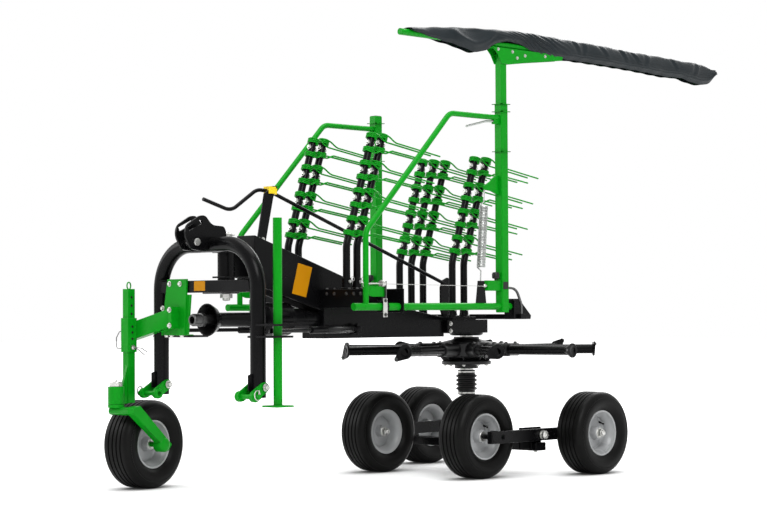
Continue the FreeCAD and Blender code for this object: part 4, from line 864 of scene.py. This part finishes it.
def pinPieces():
    v = {
        "pin": [(0, 868), (14.5, 868), (17.5, 871), (17.5, 1170), (14, 1179.5), (0, 1180)],
        "lowNut": [(17.6, 880), (28.5, 880), (28.5, 898.5), (17.6, 898.5)],
        "topNut": [(17.6, 1154.2), (28.5, 1154.2), (28.5, 1172), (26, 1174), (17.6, 1174)],
        "coilTop": (-347, 1325), "coilLow": (-370, 1028), "hookTop": (-341, 1413), "hookLow": (-375, 956),
        "turns": 44, "steps": 14, "radius": 0.0185, "hookShare": 0.25, "wire": 3.1,
        "anchor": [(-239, 1380), (-239, 1478), (-262, 1474), (-285, 1462), (-303, 1445), (-345, 1424),
                   (-345, 1404), (-300, 1400)],
        "foot": [(-408, 850), (-336, 850), (-350, 962), (-392, 962)],
    }
    centre = at(0, -1630, 0)
    addPiece("pivotPin", "zincSteel", "headstock", (turned, v["pin"], centre, zAxis, 32),
             (turned, v["lowNut"], centre, zAxis, 6, True), (turned, v["topNut"], centre, zAxis, 6, True),
             smooth=35.0, replaced="pivot_pin", bevel=0.6)
    top, low, hookTop, hookLow = (at(guardX, *v[place])
                                  for place in ("coilTop", "coilLow", "hookTop", "hookLow"))
    run = low - top
    across = run.orthogonal().normalized()
    beside = run.normalized().cross(across)
    count = v["turns"] * v["steps"]
    coil = []
    for index in range(count + 1):
        angle = 2 * math.pi * index / v["steps"]
        coil.append(top + run * (index / count)
                    + (across * math.cos(angle) + beside * math.sin(angle)) * v["radius"])
    upper, lower = (end + (hook - end) * v["hookShare"] for end, hook in ((top, hookTop), (low, hookLow)))
    wires("assistSpring", [[hookTop, upper] + coil + [lower, hookLow]], v["wire"], "springSteel",
          "left_guard", 7, "assist_spring")
    addPiece("springAnchor", "greenPaint", "left_guard", (plate, guardX - 4, 8, v["anchor"]), bevel=1)
    addPiece("springFoot", "blackPaint", "left_guard", (plate, guardX - 4, 8, v["foot"]), bevel=1)


pinPieces()
print("pins and spring made")


# Curtain: a coated sheet, gathered over a rib above its bar; its curves are in metres

curtainX, barTop = guardX / 1000, 2.1378
ridgeLift = [(-0.900, 0.004), (-0.855, 0.008), (-0.550, 0.038), (-0.250, 0.055), (-0.070, 0.062),
             (0.100, 0.060), (0.330, 0.054), (0.570, 0.051), (0.830, 0.041), (1.000, 0.040),
             (1.270, 0.032), (1.440, 0.028), (1.578, 0.002)]


def hump(value, middle, width):
    return math.exp(-((value - middle) / width) ** 2)


def curtainFold(y, depth, side):
    # how far the cloth stands out or in at a place along the bar and a share of its depth
    v = {
        "wave": (0.0030, 17, 2.1),
        # the rolled hem, behind the post
        "hem": 0.0042, "hemRidge": (0.80, 0.06), "hemGroove": (0.66, 0.07, 0.8), "hemStart": (0.15, 0.25),
        # slanting creases beside the post
        "crease": 0.0062, "creased": (0.02, 0.17), "slant": 0.24, "waver": (0.012, 40), "creasePitch": 0.058,
        # the hollow and its rim in front of the post
        "hollow": (-0.43, 0.10), "hollowHalf": (0.15, 0.55), "rim": (0.0060, 1.0, 0.20),
        "dent": (0.0050, 0.0, 0.6),
        # tucks that run down from the rib: place, lean and push of each
        "tucks": ((0.345, 0.05, 0.006), (0.435, -0.03, 0.005), (0.560, 0.07, 0.005), (0.735, 0.06, 0.007),
                  (0.830, 0.08, 0.006), (0.960, -0.04, 0.005), (1.180, 0.06, 0.004), (1.420, -0.08, 0.006)),
        "tuckShift": 0.02, "tuckWidth": 0.014, "tuckFade": 1.35, "ridge": (2.1, 0.7), "ridgeFade": 1.2,
    }
    belly = math.sin(depth * math.pi)
    size, pitch, shift = v["wave"]
    fold = size * math.sin(y * pitch + shift * side) * belly
    middle, width, share = v["hemGroove"]
    start, run = v["hemStart"]
    hem = hump(depth, *v["hemRidge"]) - share * hump(depth, middle, width)
    fold += v["hem"] * hem * min(max((y - start) / run, 0.0), 1.0)
    size, pitch = v["waver"]
    slant = y - v["slant"] * depth + size * math.sin(y * pitch)
    creases = math.sin(slant * 2 * math.pi / v["creasePitch"] + side)
    fold += v["crease"] * hump(y, *v["creased"]) * creases * belly ** 0.5
    (place, level), (half, height) = v["hollow"], v["hollowHalf"]
    reach = math.hypot((y - place) / half, (depth - level) / height)
    fold += v["rim"][0] * hump(reach, *v["rim"][1:]) - v["dent"][0] * hump(reach, *v["dent"][1:])
    beside, share = v["ridge"]
    for place, lean, push in v["tucks"]:
        across = (y - place - lean * depth - v["tuckShift"] * side) / v["tuckWidth"]
        fold -= push * hump(across, 0.0, 1.0) * max(1 - depth * v["tuckFade"], 0.0)
        fold += push * share * hump(across, beside, 1.0) * max(1 - depth * v["ridgeFade"], 0.0)
    return fold


def layCloth(bm, rows):
    grid = [[bm.verts.new(place) for place in row] for row in rows]
    for low, high in zip(grid, grid[1:]):
        for index in range(len(low) - 1):
            bm.faces.new([low[index], low[index + 1], high[index + 1], high[index]])


def curtainSheet():
    v = {
        "start": -0.880, "end": 1.578, "rows": 330, "around": 52, "width": 0.031, "tuck": 0.34,
        "barDepth": 0.018, "barReach": 0.020, "barOut": 0.0192, "tuckFrom": 0.72,
        "topWaver": (0.0012, 43), "hemWaver": (0.0014, 61), "depthPower": 1.15, "bellyPower": 2.6,
        "drop": [(-0.880, 0.006), (-0.700, 0.033), (-0.550, 0.051), (-0.470, 0.066), (-0.410, 0.071),
                 (-0.340, 0.053), (-0.280, 0.022), (-0.220, 0.004), (-0.130, 0.001), (-0.070, 0.011),
                 (0.010, 0.033), (0.090, 0.049), (0.170, 0.050), (0.450, 0.051), (0.830, 0.058),
                 (1.130, 0.070), (1.240, 0.067), (1.380, 0.086), (1.490, 0.082), (1.578, 0.026)],
    }
    rows = []
    for row in range(v["rows"] + 1):
        y = v["start"] + (v["end"] - v["start"]) * row / v["rows"]
        topWaver, lowWaver = (size * math.sin(y * pitch) for size, pitch in (v["topWaver"], v["hemWaver"]))
        top = barTop + through(ridgeLift, y) + topWaver
        low = barTop - through(v["drop"], y) + lowWaver
        line = []
        for step in range(v["around"] + 1):
            turn = step / v["around"] * 2 - 1  # -1 at the left foot, 1 at the right foot
            side = -1 if turn < 0 else 1
            depth = abs(turn) ** v["depthPower"]
            belly = math.sqrt(max(1 - (1 - depth) ** v["bellyPower"], 0.0))
            tuck = 1 - v["tuck"] * max((depth - v["tuckFrom"]) / (1 - v["tuckFrom"]), 0.0) ** 1.5
            out = v["width"] * belly * tuck + curtainFold(y, depth, side) * min(depth * 6, 1.0)
            level = top + (low - top) * depth
            if abs(level - barTop + v["barDepth"]) < v["barReach"]:  # the cloth clears the bar
                out = max(out, v["barOut"])
            line.append(Vector((curtainX - side * out, y + columnY, level)))
        rows.append(line)
    bm = bmesh.new()
    layCloth(bm, rows)
    area = sum(face.calc_area() for face in bm.faces)
    mesh = closeMesh("windrowCurtain", bm)
    sheet = dressMesh("windrowCurtain", mesh, "curtainSheet", "curtain", 75.0, "curtain")


def curtainRib():
    # the bent rod that carries the sheet above its bar, on short posts
    v = {"below": 0.0085, "start": -0.840, "end": 1.545, "steps": 60, "foot": 2.128,
         "posts": (-0.600, -0.200, 0.300, 0.800, 1.300)}

    def onRib(y):
        return Vector((curtainX, y + columnY, barTop + through(ridgeLift, y) - v["below"]))

    run = v["end"] - v["start"]
    paths = [[onRib(v["start"] + run * step / v["steps"]) for step in range(v["steps"] + 1)]]
    paths += [[Vector((curtainX, y + columnY, v["foot"])), onRib(y)] for y in v["posts"]]
    addPiece("curtainRib", "greenPaint", "curtain", *[(sweep, path, 5, 10) for path in paths])


def curtainBracket():
    # the channel under the bar at the post, with its gussets and bolts
    half, wall = 21.5, 4
    gusset = [(-300, 2104), (-262, 2068), (-236, 2026), (-180, 2026), (-20, 2048), (230, 2078), (240, 2104)]
    addPiece("curtainGussets", "greenPaint", "curtain",
             (plate, guardX - half - wall, wall, gusset), (plate, guardX + half, wall, gusset),
             (block, (guardX - half, -300, 2098), (guardX + half, 240, 2104)), bevel=0.8)
    boltSet("curtainBolts", "curtain", 5.8, [
        (guardX + half + wall, y, z, xAxis) for y, z in
        ((-262, 2094), (-120, 2062), (-155, 2090), (-60, 2078), (95, 2088))])


curtainRib()
curtainSheet()
curtainBracket()
print("curtain made")


# Bolts, pins, clips and small plates

def discs(x, y, levels, thick):
    outline = [(0, 0), (6.2, 0), (6.2, thick), (0, thick)]
    return [(turned, outline, at(x, y, z), xAxis, 20) for z in levels]


def headstockDetails():
    v = {
        "knob": [(11, -2), (22.5, -2), (24, 1), (24, 10), (22.5, 14.5), (18.5, 17), (11, 17)],
        "lug": [(-1770, 472), (-1796, 472), (-1796, 540), (-1770, 548)],
        "linkPin": [(0, -52), (12, -52), (12.2, 38.5), (17, 38.5), (17.5, 39.5), (17.5, 47), (16, 49),
                    (0, 49)],
        "beamPlate": [(-1239, 1044), (-1149, 1024), (-1189, 884), (-1279, 902)],
        "weld": [(0, -0.5), (35.5, -0.5), (38.5, 2.5), (35.5, 5.5), (0, 5.5)],
        "lugPin": (-1801, 447), "lugBolt": (-1737, 486), "weldX": 289.1,
    }
    for side, sign, clip in (("left", 1, "zincSteel"), ("right", -1, "darkSteel")):
        outer, inner, pinEnd = 375 * sign, 285 * sign, 401 * sign
        aside = xAxis * sign
        addPiece(side + "LugBosses", "greenPaint", "headstock",
                 (turned, v["knob"], at(outer, *v["lugPin"]), aside, 32, True),
                 (turned, v["knob"], at(inner, *v["lugPin"]), -aside, 32, True))
        boltSet(side + "LugBolts", "headstock", 12.5, [
            (outer + 6.5 * sign, *v["lugBolt"], aside), (inner - 6.5 * sign, *v["lugBolt"], -aside)])
        wires(side + "LinchPin", [
            ringPath(at(pinEnd, -1806, 455), Vector((1, 0.25, 0)), 21),
            [at(pinEnd, -1795, 476), at(pinEnd, -1803, 426)]], 2.2, clip, "headstock")
        addPiece(side + "CheckLug", "blackPaint", "headstock", (plate, 330 * sign - 3, 6, v["lug"]), bevel=1)
    # the upper link's pin, kept in its plates
    addPiece("upperLinkPin", "zincSteel", "headstock",
             (turned, v["linkPin"], at(0, -1840, 1130), xAxis, 32))
    wires("upperLinkClip", [ringPath(at(-46, -1838, 1130), Vector((1, 0.2, 0)), 16.5)], 2.1, "zincSteel",
          "headstock")
    addPiece("crossbarPlate", "orangePlate", "headstock", (block, (-69, -1763.2, 913), (6, -1761.5, 957)),
             bevel=0.5)
    addPiece("beamPlate", "orangePlate", "chassis", (plate, 61.6, 1.4, v["beamPlate"]), bevel=0.5)
    wires("pivotSplitPin", [[at(-31, -1640, 1166), at(31, -1620, 1166)],
                            ringPath(at(36, -1618, 1166), zAxis, 5.5, 12)], 2.1, "zincSteel", "headstock")
    addPiece("crossbarWelds", "blackPaint", "headstock",
             *[(turned, v["weld"], at(x, headY, 960.5), zAxis, 24) for x in (-v["weldX"], v["weldX"])],
             smooth=50.0)


def supportDetails():
    v = {
        "place": (-450, -1832), "face": -430, "sleeve": -423.7, "pinZ": 656,
        "pin": [(0, 0), (10.5, 0), (11.5, 3), (10.5, 8.5), (6, 10.5), (0, 10.8)],
        "clip": [[(12, 30, -4), (24, 52, -22)], [(6, 20, -14), (16, 44, -36)]],
        "handle": [(-1, 0, 655), (-26, -12, 645), (-28, -12, 700), (-14, -6, 728), (-1, 0, 732)],
        "nut": [(0, 479), (29, 479), (29, 496), (26.5, 499.5), (0, 500.5)],
        "nipple": [(0, 0), (4.5, 0), (4.5, 4), (3, 6), (3.4, 10), (0, 11.5)],
        "hub": [(0, 82), (30, 82), (34, 86), (34, 128), (30, 133), (20, 137), (0, 138)],
        "castor": (-444, -1912), "turn": math.radians(9), "trail": 0.190,
    }
    (x, y), sleeve = v["place"], v["sleeve"]
    # painted shade: thin dark discs on the post and on the sleeve stand for the shaded insides of their pin
    # holes
    addPiece("postHoles", "bellowsRubber", "support_post", *discs(v["face"], y, (887, 849, 811), 0.2))
    addPiece("sleeveHoles", "bellowsRubber", "headstock", *discs(sleeve - 0.2, y, (752, 725, 696), 0.6))
    addPiece("heightPin", "zincSteel", "headstock", (turned, v["pin"], at(sleeve, y, v["pinZ"]), xAxis, 24))
    start = at(sleeve + 6, y + 10, v["pinZ"])
    legs = [roundedPath([start] + [start + mm(*step) for step in leg], 20, 5) for leg in v["clip"]]
    wires("heightPinClip", legs, 2.1, "darkSteel", "headstock", 6)
    foot = at(x - 26.5, y - 18, 0)
    handle = roundedPath([foot + mm(*step) for step in v["handle"]], 12, 5)
    wires("heightPinHandle", [handle], 2.2, "darkSteel", "headstock", 6)
    wires("postRing", [ringPath(at(x, y, 940.5), Vector((0.95, 0.35, 0)), 16.5)], 3.2, "greenPaint",
          "support_post")
    boltSet("supportBolts", "headstock", 8.5, [
        (-229, -1772, 947, -yAxis), (-156, -1772, 946, -yAxis), (-278, -1772, 835, -yAxis),
        (-232, -1758, 711.5, -zAxis), (-160, -1758, 711.5, -zAxis), (-268, -1758, 711.5, -zAxis)])
    # the arm's root flange and its two bolts
    addPiece("armFlange", "greenPaint", "headstock", (block, (-186.5, -1816.5, 742), (-165, -1771.5, 842)),
             bevel=1.5)
    boltSet("armFlangeBolts", "headstock", 8.5, [(-177, -1816.7, z, -yAxis) for z in (828, 757)])
    addPiece("castorNut", "zincSteel", "castor", (turned, v["nut"], at(*v["castor"], 0), zAxis, 12),
             (turned, v["nipple"], at(*v["castor"], 500.2), zAxis, 12), smooth=30.0)
    sideways = Vector((math.cos(v["turn"]), math.sin(v["turn"]), 0))
    trailing = Vector((-math.sin(v["turn"]), math.cos(v["turn"]), 0))
    hub = at(*v["castor"], 205) + trailing * v["trail"]
    addPiece("castorHubBoss", "greenPaint", "castor", (turned, v["hub"], hub, sideways, 28))


def bogieDetails():
    v = {
        "nut": [(0, 465.5), (24.5, 465.5), (24.5, 469.5), (20.5, 470), (20.5, 485), (17, 487.5), (7.5, 496),
                (4.8, 496.5), (4.8, 502), (0, 502.6)],
        "boss": [(0, 432.5), (29, 432.5), (31, 435), (31, 465), (29, 467.5), (0, 467.5)],
        "axles": (-304, 298), "clamps": (-248, 240),
    }
    for side, sign in bothSides:
        aside = xAxis * sign
        addPiece(side + "BogieNut", "zincSteel", "chassis", (turned, v["nut"], at(0, 44, 201), aside, 24),
                 smooth=32.0)
        addPiece(side + "AxleBosses", "blackPaint", "chassis",
                 *[(turned, v["boss"], at(0, y, 205), aside, 32) for y in v["axles"]])
        boltSet(side + "AxleClampBolts", "chassis", 10.5,
                [(465.2 * sign, y, 202, aside) for y in v["clamps"]], "blackPaint")
        boltSet(side + "CrossTubeBolt", "chassis", 8.5, [(430 * sign, 30, 122.5, -zAxis)])


def frameDetails():
    v = {
        "collar": [(18, 0.2), (30, 0.2), (30, 6), (23.5, 9), (21.5, 20), (20.5, 52), (18, 54)],
        "rackTop": (100, 152, 248, 300, 340), "rackFront": (110, 160, 240, 290, 335),
    }
    spots, topSpots, rackSpots = [], [], []
    for sign in (1, -1):
        spots += [(100.2 * sign, -228, z, xAxis * sign) for z in (754, 717)]
        spots += [(75.2 * sign, y, 880, xAxis * sign) for y in (-1060, -1000)]
        topSpots += [(91 * sign, y, 788.2, zAxis) for y in (-232, -190, -120)]
        rackSpots += [(x * sign, -1088, 921.2, zAxis) for x in v["rackTop"]]
        rackSpots += [(x * sign, -1100.2, 900, -yAxis) for x in v["rackFront"]]
    boltSet("frameBolts", "chassis", 7.8, spots)
    boltSet("frameTopBolts", "chassis", 5.8, topSpots)
    boltSet("frontRackBolts", "chassis", 6.2, rackSpots, "darkSteel")
    bolts, rings = [], []
    for node, (x, *_) in armGroups.items():
        sign = 1 if x > 0 else -1
        collars = []
        for foot in armFeet(node):
            collars.append((turned, v["collar"], foot, zAxis, 28, True))
            clip = foot + mm(22.5 * sign, 0, 36)
            bolts.append((clip, xAxis * sign))
            rings.append(ringPath(clip + mm(6 * sign, 12, 12), xAxis, 10, 14))
        addPiece(node + "Collars", "blackPaint", bodyOf[node], *collars)
    copies("collarBolts", boltPattern(5.5, 6), bolts, "zincSteel", "chassis", 1.0)
    wires("collarClips", rings, 1.4, "zincSteel", "chassis", 6)


def guardDetails():
    v = {
        "clamp": [(18.2, -1070), (26.2, -1070), (26.2, -1035), (18.2, -1035)],
        "quarter": [(-1163, 932), (-1044, 932), (-1044, 884), (-1112, 884)]
                   + [(-1112 - 51 * math.sin(t), 912.5 - 28.5 * math.cos(t))
                      for t in (math.radians(18 * step) for step in range(1, 6))],
        "pin": [(0, -4), (15.5, -4), (16.5, 0), (16.5, 16), (14, 19), (0, 19)],
        "rod": [(0, -100), (3.5, -100), (3.5, 0), (0, 0)],
        "eye": [(0, -336), (8.5, -336), (10.5, -341), (10.5, -352), (6, -356), (0, -356)],
        "knob": [(0, 962), (7, 962), (7, 972), (17.5, 975), (18.5, 982), (18.5, 996), (14.5, 1004),
                 (0, 1006)],
        "strap": [(-182, 930), (-110, 926), (-72, 850), (-70, 802)],
        "lever": [(-240, 1744), (-330, 1738), (-470, 1706)],
        "collarLevels": {"left": (1594, 1790, 1826.5), "right": (1594, 1790)},
        "inner": 23.5, "outer": 32.5, "collarThick": 3,
    }
    for side, sign in bothSides:
        x, aside = guardX * sign, xAxis * sign
        body = side + "_guard"
        # hinge clamp of the front carrier
        addPiece(side + "HingeClamp", "blackPaint", "chassis",
                 (turned, v["clamp"], at(x, 0, hingeZ), yAxis, 32, True),
                 (block, (345 * sign, -1068, 835.5), (408 * sign, -1037, 866)), bevel=0.6)
        addPiece(side + "ClampPlate", "zincSteel", "chassis",
                 (block, (455.5 * sign, -1078, 790), (459.5 * sign, -1051, 876)), bevel=1.2)
        boltSet(side + "ClampBolts", "chassis", 6.2,
                [(459.6 * sign, -1064, z, aside) for z in (866, 801)], "darkSteel")
        # quarter plate, lock pin and the wire that frees it
        addPiece(side + "QuarterPlate", "greenPaint", body, (plate, x - 3, 6, v["quarter"]), bevel=0.8)
        addPiece(side + "LockPin", "zincSteel", body, (turned, v["pin"], at(x, -1062, 944), yAxis, 24),
                 (turned, v["rod"], at(x, -1062, 944), yAxis, 12))
        addPiece(side + "LockPlate", "darkSteel", body, (block, (x - 14, -1046, 846), (x + 14, -1040, 956)),
                 bevel=0.8)
        wires(side + "LockWire", [
            [at(x, -1162, 944), at(x + 10 * sign, -345, 936)],
            ringPath(at(x, -1170, 940), xAxis, 12, 16)], 1.3, "zincSteel", body, 6)
        # latch at the foot of the post
        addPiece(side + "Latch", "greenPaint", body, (block, (x - 12, -335, 914), (x + 12, -237, 964)),
                 bevel=1.5)
        addPiece(side + "LatchEye", "zincSteel", body, (turned, v["eye"], at(x, 0, 938), yAxis, 20))
        addPiece(side + "LatchKnob", "bellowsRubber", body,
                 (turned, v["knob"], at(x, -262, 0), zAxis, 24))
        # painted shade: a thin dark plate on the post's outer face stands for the shaded opening of the
        # latch's window
        addPiece(side + "LatchWindow", "bellowsRubber", body,
                 (block, (453.5 * sign, -234, 922), (455.5 * sign, -198, 958)), bevel=0.4)
        strap = roundedPath([at(x, y, z) for y, z in v["strap"]], 60)
        addPiece(side + "HangerStrap", "darkSteel", "chassis", (sweep, strap, 6.5, 12), smooth=50.0)
        # plates round the post
        inner, outer = v["inner"], v["outer"]
        strips = [((-outer, -outer), (outer, -inner)), ((-outer, inner), (outer, outer)),
                  ((-outer, -outer), (-inner, outer)), ((inner, -outer), (outer, outer))]
        addPiece(side + "PostPlates", "greenPaint", body, *[
            (block, (x + low[0], postY + low[1], z), (x + high[0], postY + high[1], z + v["collarThick"]))
            for z in v["collarLevels"][side] for low, high in strips])
    lever = roundedPath([at(guardX, y, z) for y, z in v["lever"]], 100, 5)
    addPiece("curtainLever", "springSteel", "left_guard", (sweep, lever, 5.5, 14))
    addPiece("leverLug", "greenPaint", "left_guard", (block, (421, -276, 1728), (439, -237, 1758)),
             bevel=1.5)


def driveDetails():
    # yoke and cross of the shaft's joint, and the cap on the crank's stay
    v = {"ear": [(-1790, 799), (-1745, 795), (-1745, 769), (-1790, 765)], "ribs": 8, "ribRadius": 0.0255,
         "rib": [(-1830, 0.004), (-1830, -0.004), (-1796, -0.004), (-1796, 0.004)], "ribThick": 0.0025,
         "underside": [(-52, -1500, 942.5), (52, -1500, 942.5), (52, -1090, 822.5), (-52, -1090, 822.5)]}
    shapes = [(plate, 17.5 * sign, 10 * sign, v["ear"]) for sign in (1, -1)]
    for turn in range(v["ribs"]):
        angle = 2 * math.pi * turn / v["ribs"]
        across = Vector((math.cos(angle), 0, math.sin(angle)))
        beside = Vector((-math.sin(angle), 0, math.cos(angle)))
        rib = [at(0, y, shaftZ) + across * v["ribRadius"] + beside * aside for y, aside in v["rib"]]
        shapes.append((slab, rib, across * v["ribThick"]))
    addPiece("driveYokeRibs", "darkSteel", "drive", *shapes, bevel=0.6)
    addPiece("holderCap", "yellowPaint", "chassis", (block, (53.5, -1418, 1362), (58.5, -1374, 1394)),
             bevel=1)
    boltSet("stayBolts", "chassis", 6.8, [(53.2, y, 1150, xAxis) for y in (-1478, -1451)])
    # painted shade: a thin, nearly black, mat sheet under the beam darkens its underside where it lies in
    # shade
    addPiece("beamUnderside", "paintedShadeBlack", "chassis",
             (slab, [at(*corner) for corner in v["underside"]], mm(0, 0, -1.5)))
    boltSet("beamBolts", "chassis", 8.5, [(62.2, -990, 845, xAxis), (62.2, -930, 828, xAxis)], "darkSteel")


headstockDetails()
supportDetails()
bogieDetails()
frameDetails()
guardDetails()
driveDetails()
print("details made")


# Floor, light and camera

def seenRays(tree):
    # 1 for the rays that show the white background, straight on or in a reflection
    rays = addNode(tree, "ShaderNodeLightPath").outputs
    seen = mathNode(tree, "MAXIMUM", rays["Is Camera Ray"], rays["Is Glossy Ray"])
    return mathNode(tree, "MAXIMUM", seen, rays["Is Transmission Ray"])


def layFloor():
    v = {"half": 40.0, "colour": (0.92, 0.92, 0.92), "rough": 0.9, "shine": 0.1,
         "lift": (1.5, 5.0, 0.06, 0.8), "shadeReach": 0.16, "shade": (0.15, 0.85, 0.25, 1.0)}
    mesh = bpy.data.meshes.new("floor")
    mesh.from_pydata([(x * v["half"], y * v["half"], 0) for x, y in ((-1, -1), (1, -1), (1, 1), (-1, 1))],
                     [], [(0, 1, 2, 3)])
    floor = bpy.data.objects.new("floor", mesh)
    scene.collection.objects.link(floor)
    material = bpy.data.materials.new("floor")
    material.use_nodes = True
    tree = material.node_tree
    shader = tree.nodes["Principled BSDF"].inputs
    # the seen floor is lifted to white away from the machine, where the lamps fade
    place = addNode(tree, "ShaderNodeTexCoord").outputs["Object"]
    away = addNode(tree, "ShaderNodeVectorMath", {0: place}, operation="LENGTH").outputs["Value"]
    lift = mapRange(tree, away, *v["lift"])
    # shadow gathers where a tyre or a foot meets the ground
    shade = addNode(tree, "ShaderNodeAmbientOcclusion", {"Distance": v["shadeReach"]}).outputs["AO"]
    clear = mapRange(tree, shade, *v["shade"])
    glow = mathNode(tree, "MULTIPLY", seenRays(tree), mathNode(tree, "MULTIPLY", lift, clear))
    tree.links.new(mixColours(tree, clear, (0, 0, 0), v["colour"]), shader["Base Color"])
    tree.links.new(glow, shader["Emission Strength"])
    shader["Emission Color"].default_value = (1, 1, 1, 1)
    shader["Roughness"].default_value = v["rough"]
    shader["Specular IOR Level"].default_value = v["shine"]
    mesh.materials.append(material)


def lightSky():
    # white where it is seen; as a light, brighter above than below
    v = {"brightness": (-0.1, 0.9, 0.28, 1.0), "white": (1, 1, 1, 1)}
    world = bpy.data.worlds.new("studio")
    scene.world = world
    world.use_nodes = True
    tree = world.node_tree
    tree.nodes.clear()
    place = addNode(tree, "ShaderNodeTexCoord").outputs["Generated"]
    height = addNode(tree, "ShaderNodeSeparateXYZ", {"Vector": place}).outputs["Z"]
    light = addNode(tree, "ShaderNodeBackground",
                    {"Color": v["white"], "Strength": mapRange(tree, height, *v["brightness"])})
    seen = addNode(tree, "ShaderNodeBackground", {"Color": v["white"], "Strength": 1.0})
    mix = addNode(tree, "ShaderNodeMixShader", {
        "Fac": seenRays(tree), 1: light.outputs["Background"], 2: seen.outputs["Background"]})
    addNode(tree, "ShaderNodeOutputWorld", {"Surface": mix.outputs["Shader"]})


def hangLamps():
    # place, size, power and what each lamp faces
    lamps = {
        "keyLamp": ((4.5, -3.5, 5.0), 3.0, 260, (0, -0.2, 0.8)),
        "fillLamp": ((-4.5, -4.0, 3.0), 3.0, 110, (0, -0.5, 0.8)),
        "rearLamp": ((-1.5, 5.0, 4.5), 3.0, 150, (0, 0.2, 0.8)),
        "topLamp": ((0.3, -0.3, 6.0), 4.0, 170, (0, 0, 0)),
    }
    for name, (place, size, power, target) in lamps.items():
        data = bpy.data.lights.new(name, "AREA")
        data.size = size
        data.energy = power
        lamp = bpy.data.objects.new(name, data)
        lamp.location = place
        lamp.rotation_euler = (Vector(target) - Vector(place)).to_track_quat("-Z", "Y").to_euler()
        scene.collection.objects.link(lamp)


def placeCamera():
    v = {"lens": 96.1, "sensor": 36.0, "place": (6995, -7802, 815), "azimuth": math.radians(44.18),
         "elevation": math.radians(-1.60), "roll": math.radians(-0.29)}
    lens = bpy.data.cameras.new("camera")
    lens.lens = v["lens"]
    lens.sensor_width = v["sensor"]
    camera = bpy.data.objects.new("camera", lens)
    azimuth, elevation, roll = v["azimuth"], v["elevation"], v["roll"]
    ahead = -Vector((math.sin(azimuth) * math.cos(elevation), -math.cos(azimuth) * math.cos(elevation),
                     math.sin(elevation)))
    right = Vector((math.cos(azimuth), math.sin(azimuth), 0))
    up = right.cross(ahead)
    right, up = right * math.cos(roll) + up * math.sin(roll), up * math.cos(roll) - right * math.sin(roll)
    columns = Matrix((right, up, -ahead)).transposed()
    camera.matrix_world = Matrix.Translation(at(*v["place"])) @ columns.to_4x4()
    scene.collection.objects.link(camera)
    scene.camera = camera
    scene.view_settings.view_transform = "Standard"


layFloor()
lightSky()
hangLamps()
placeCamera()
print("studio made")
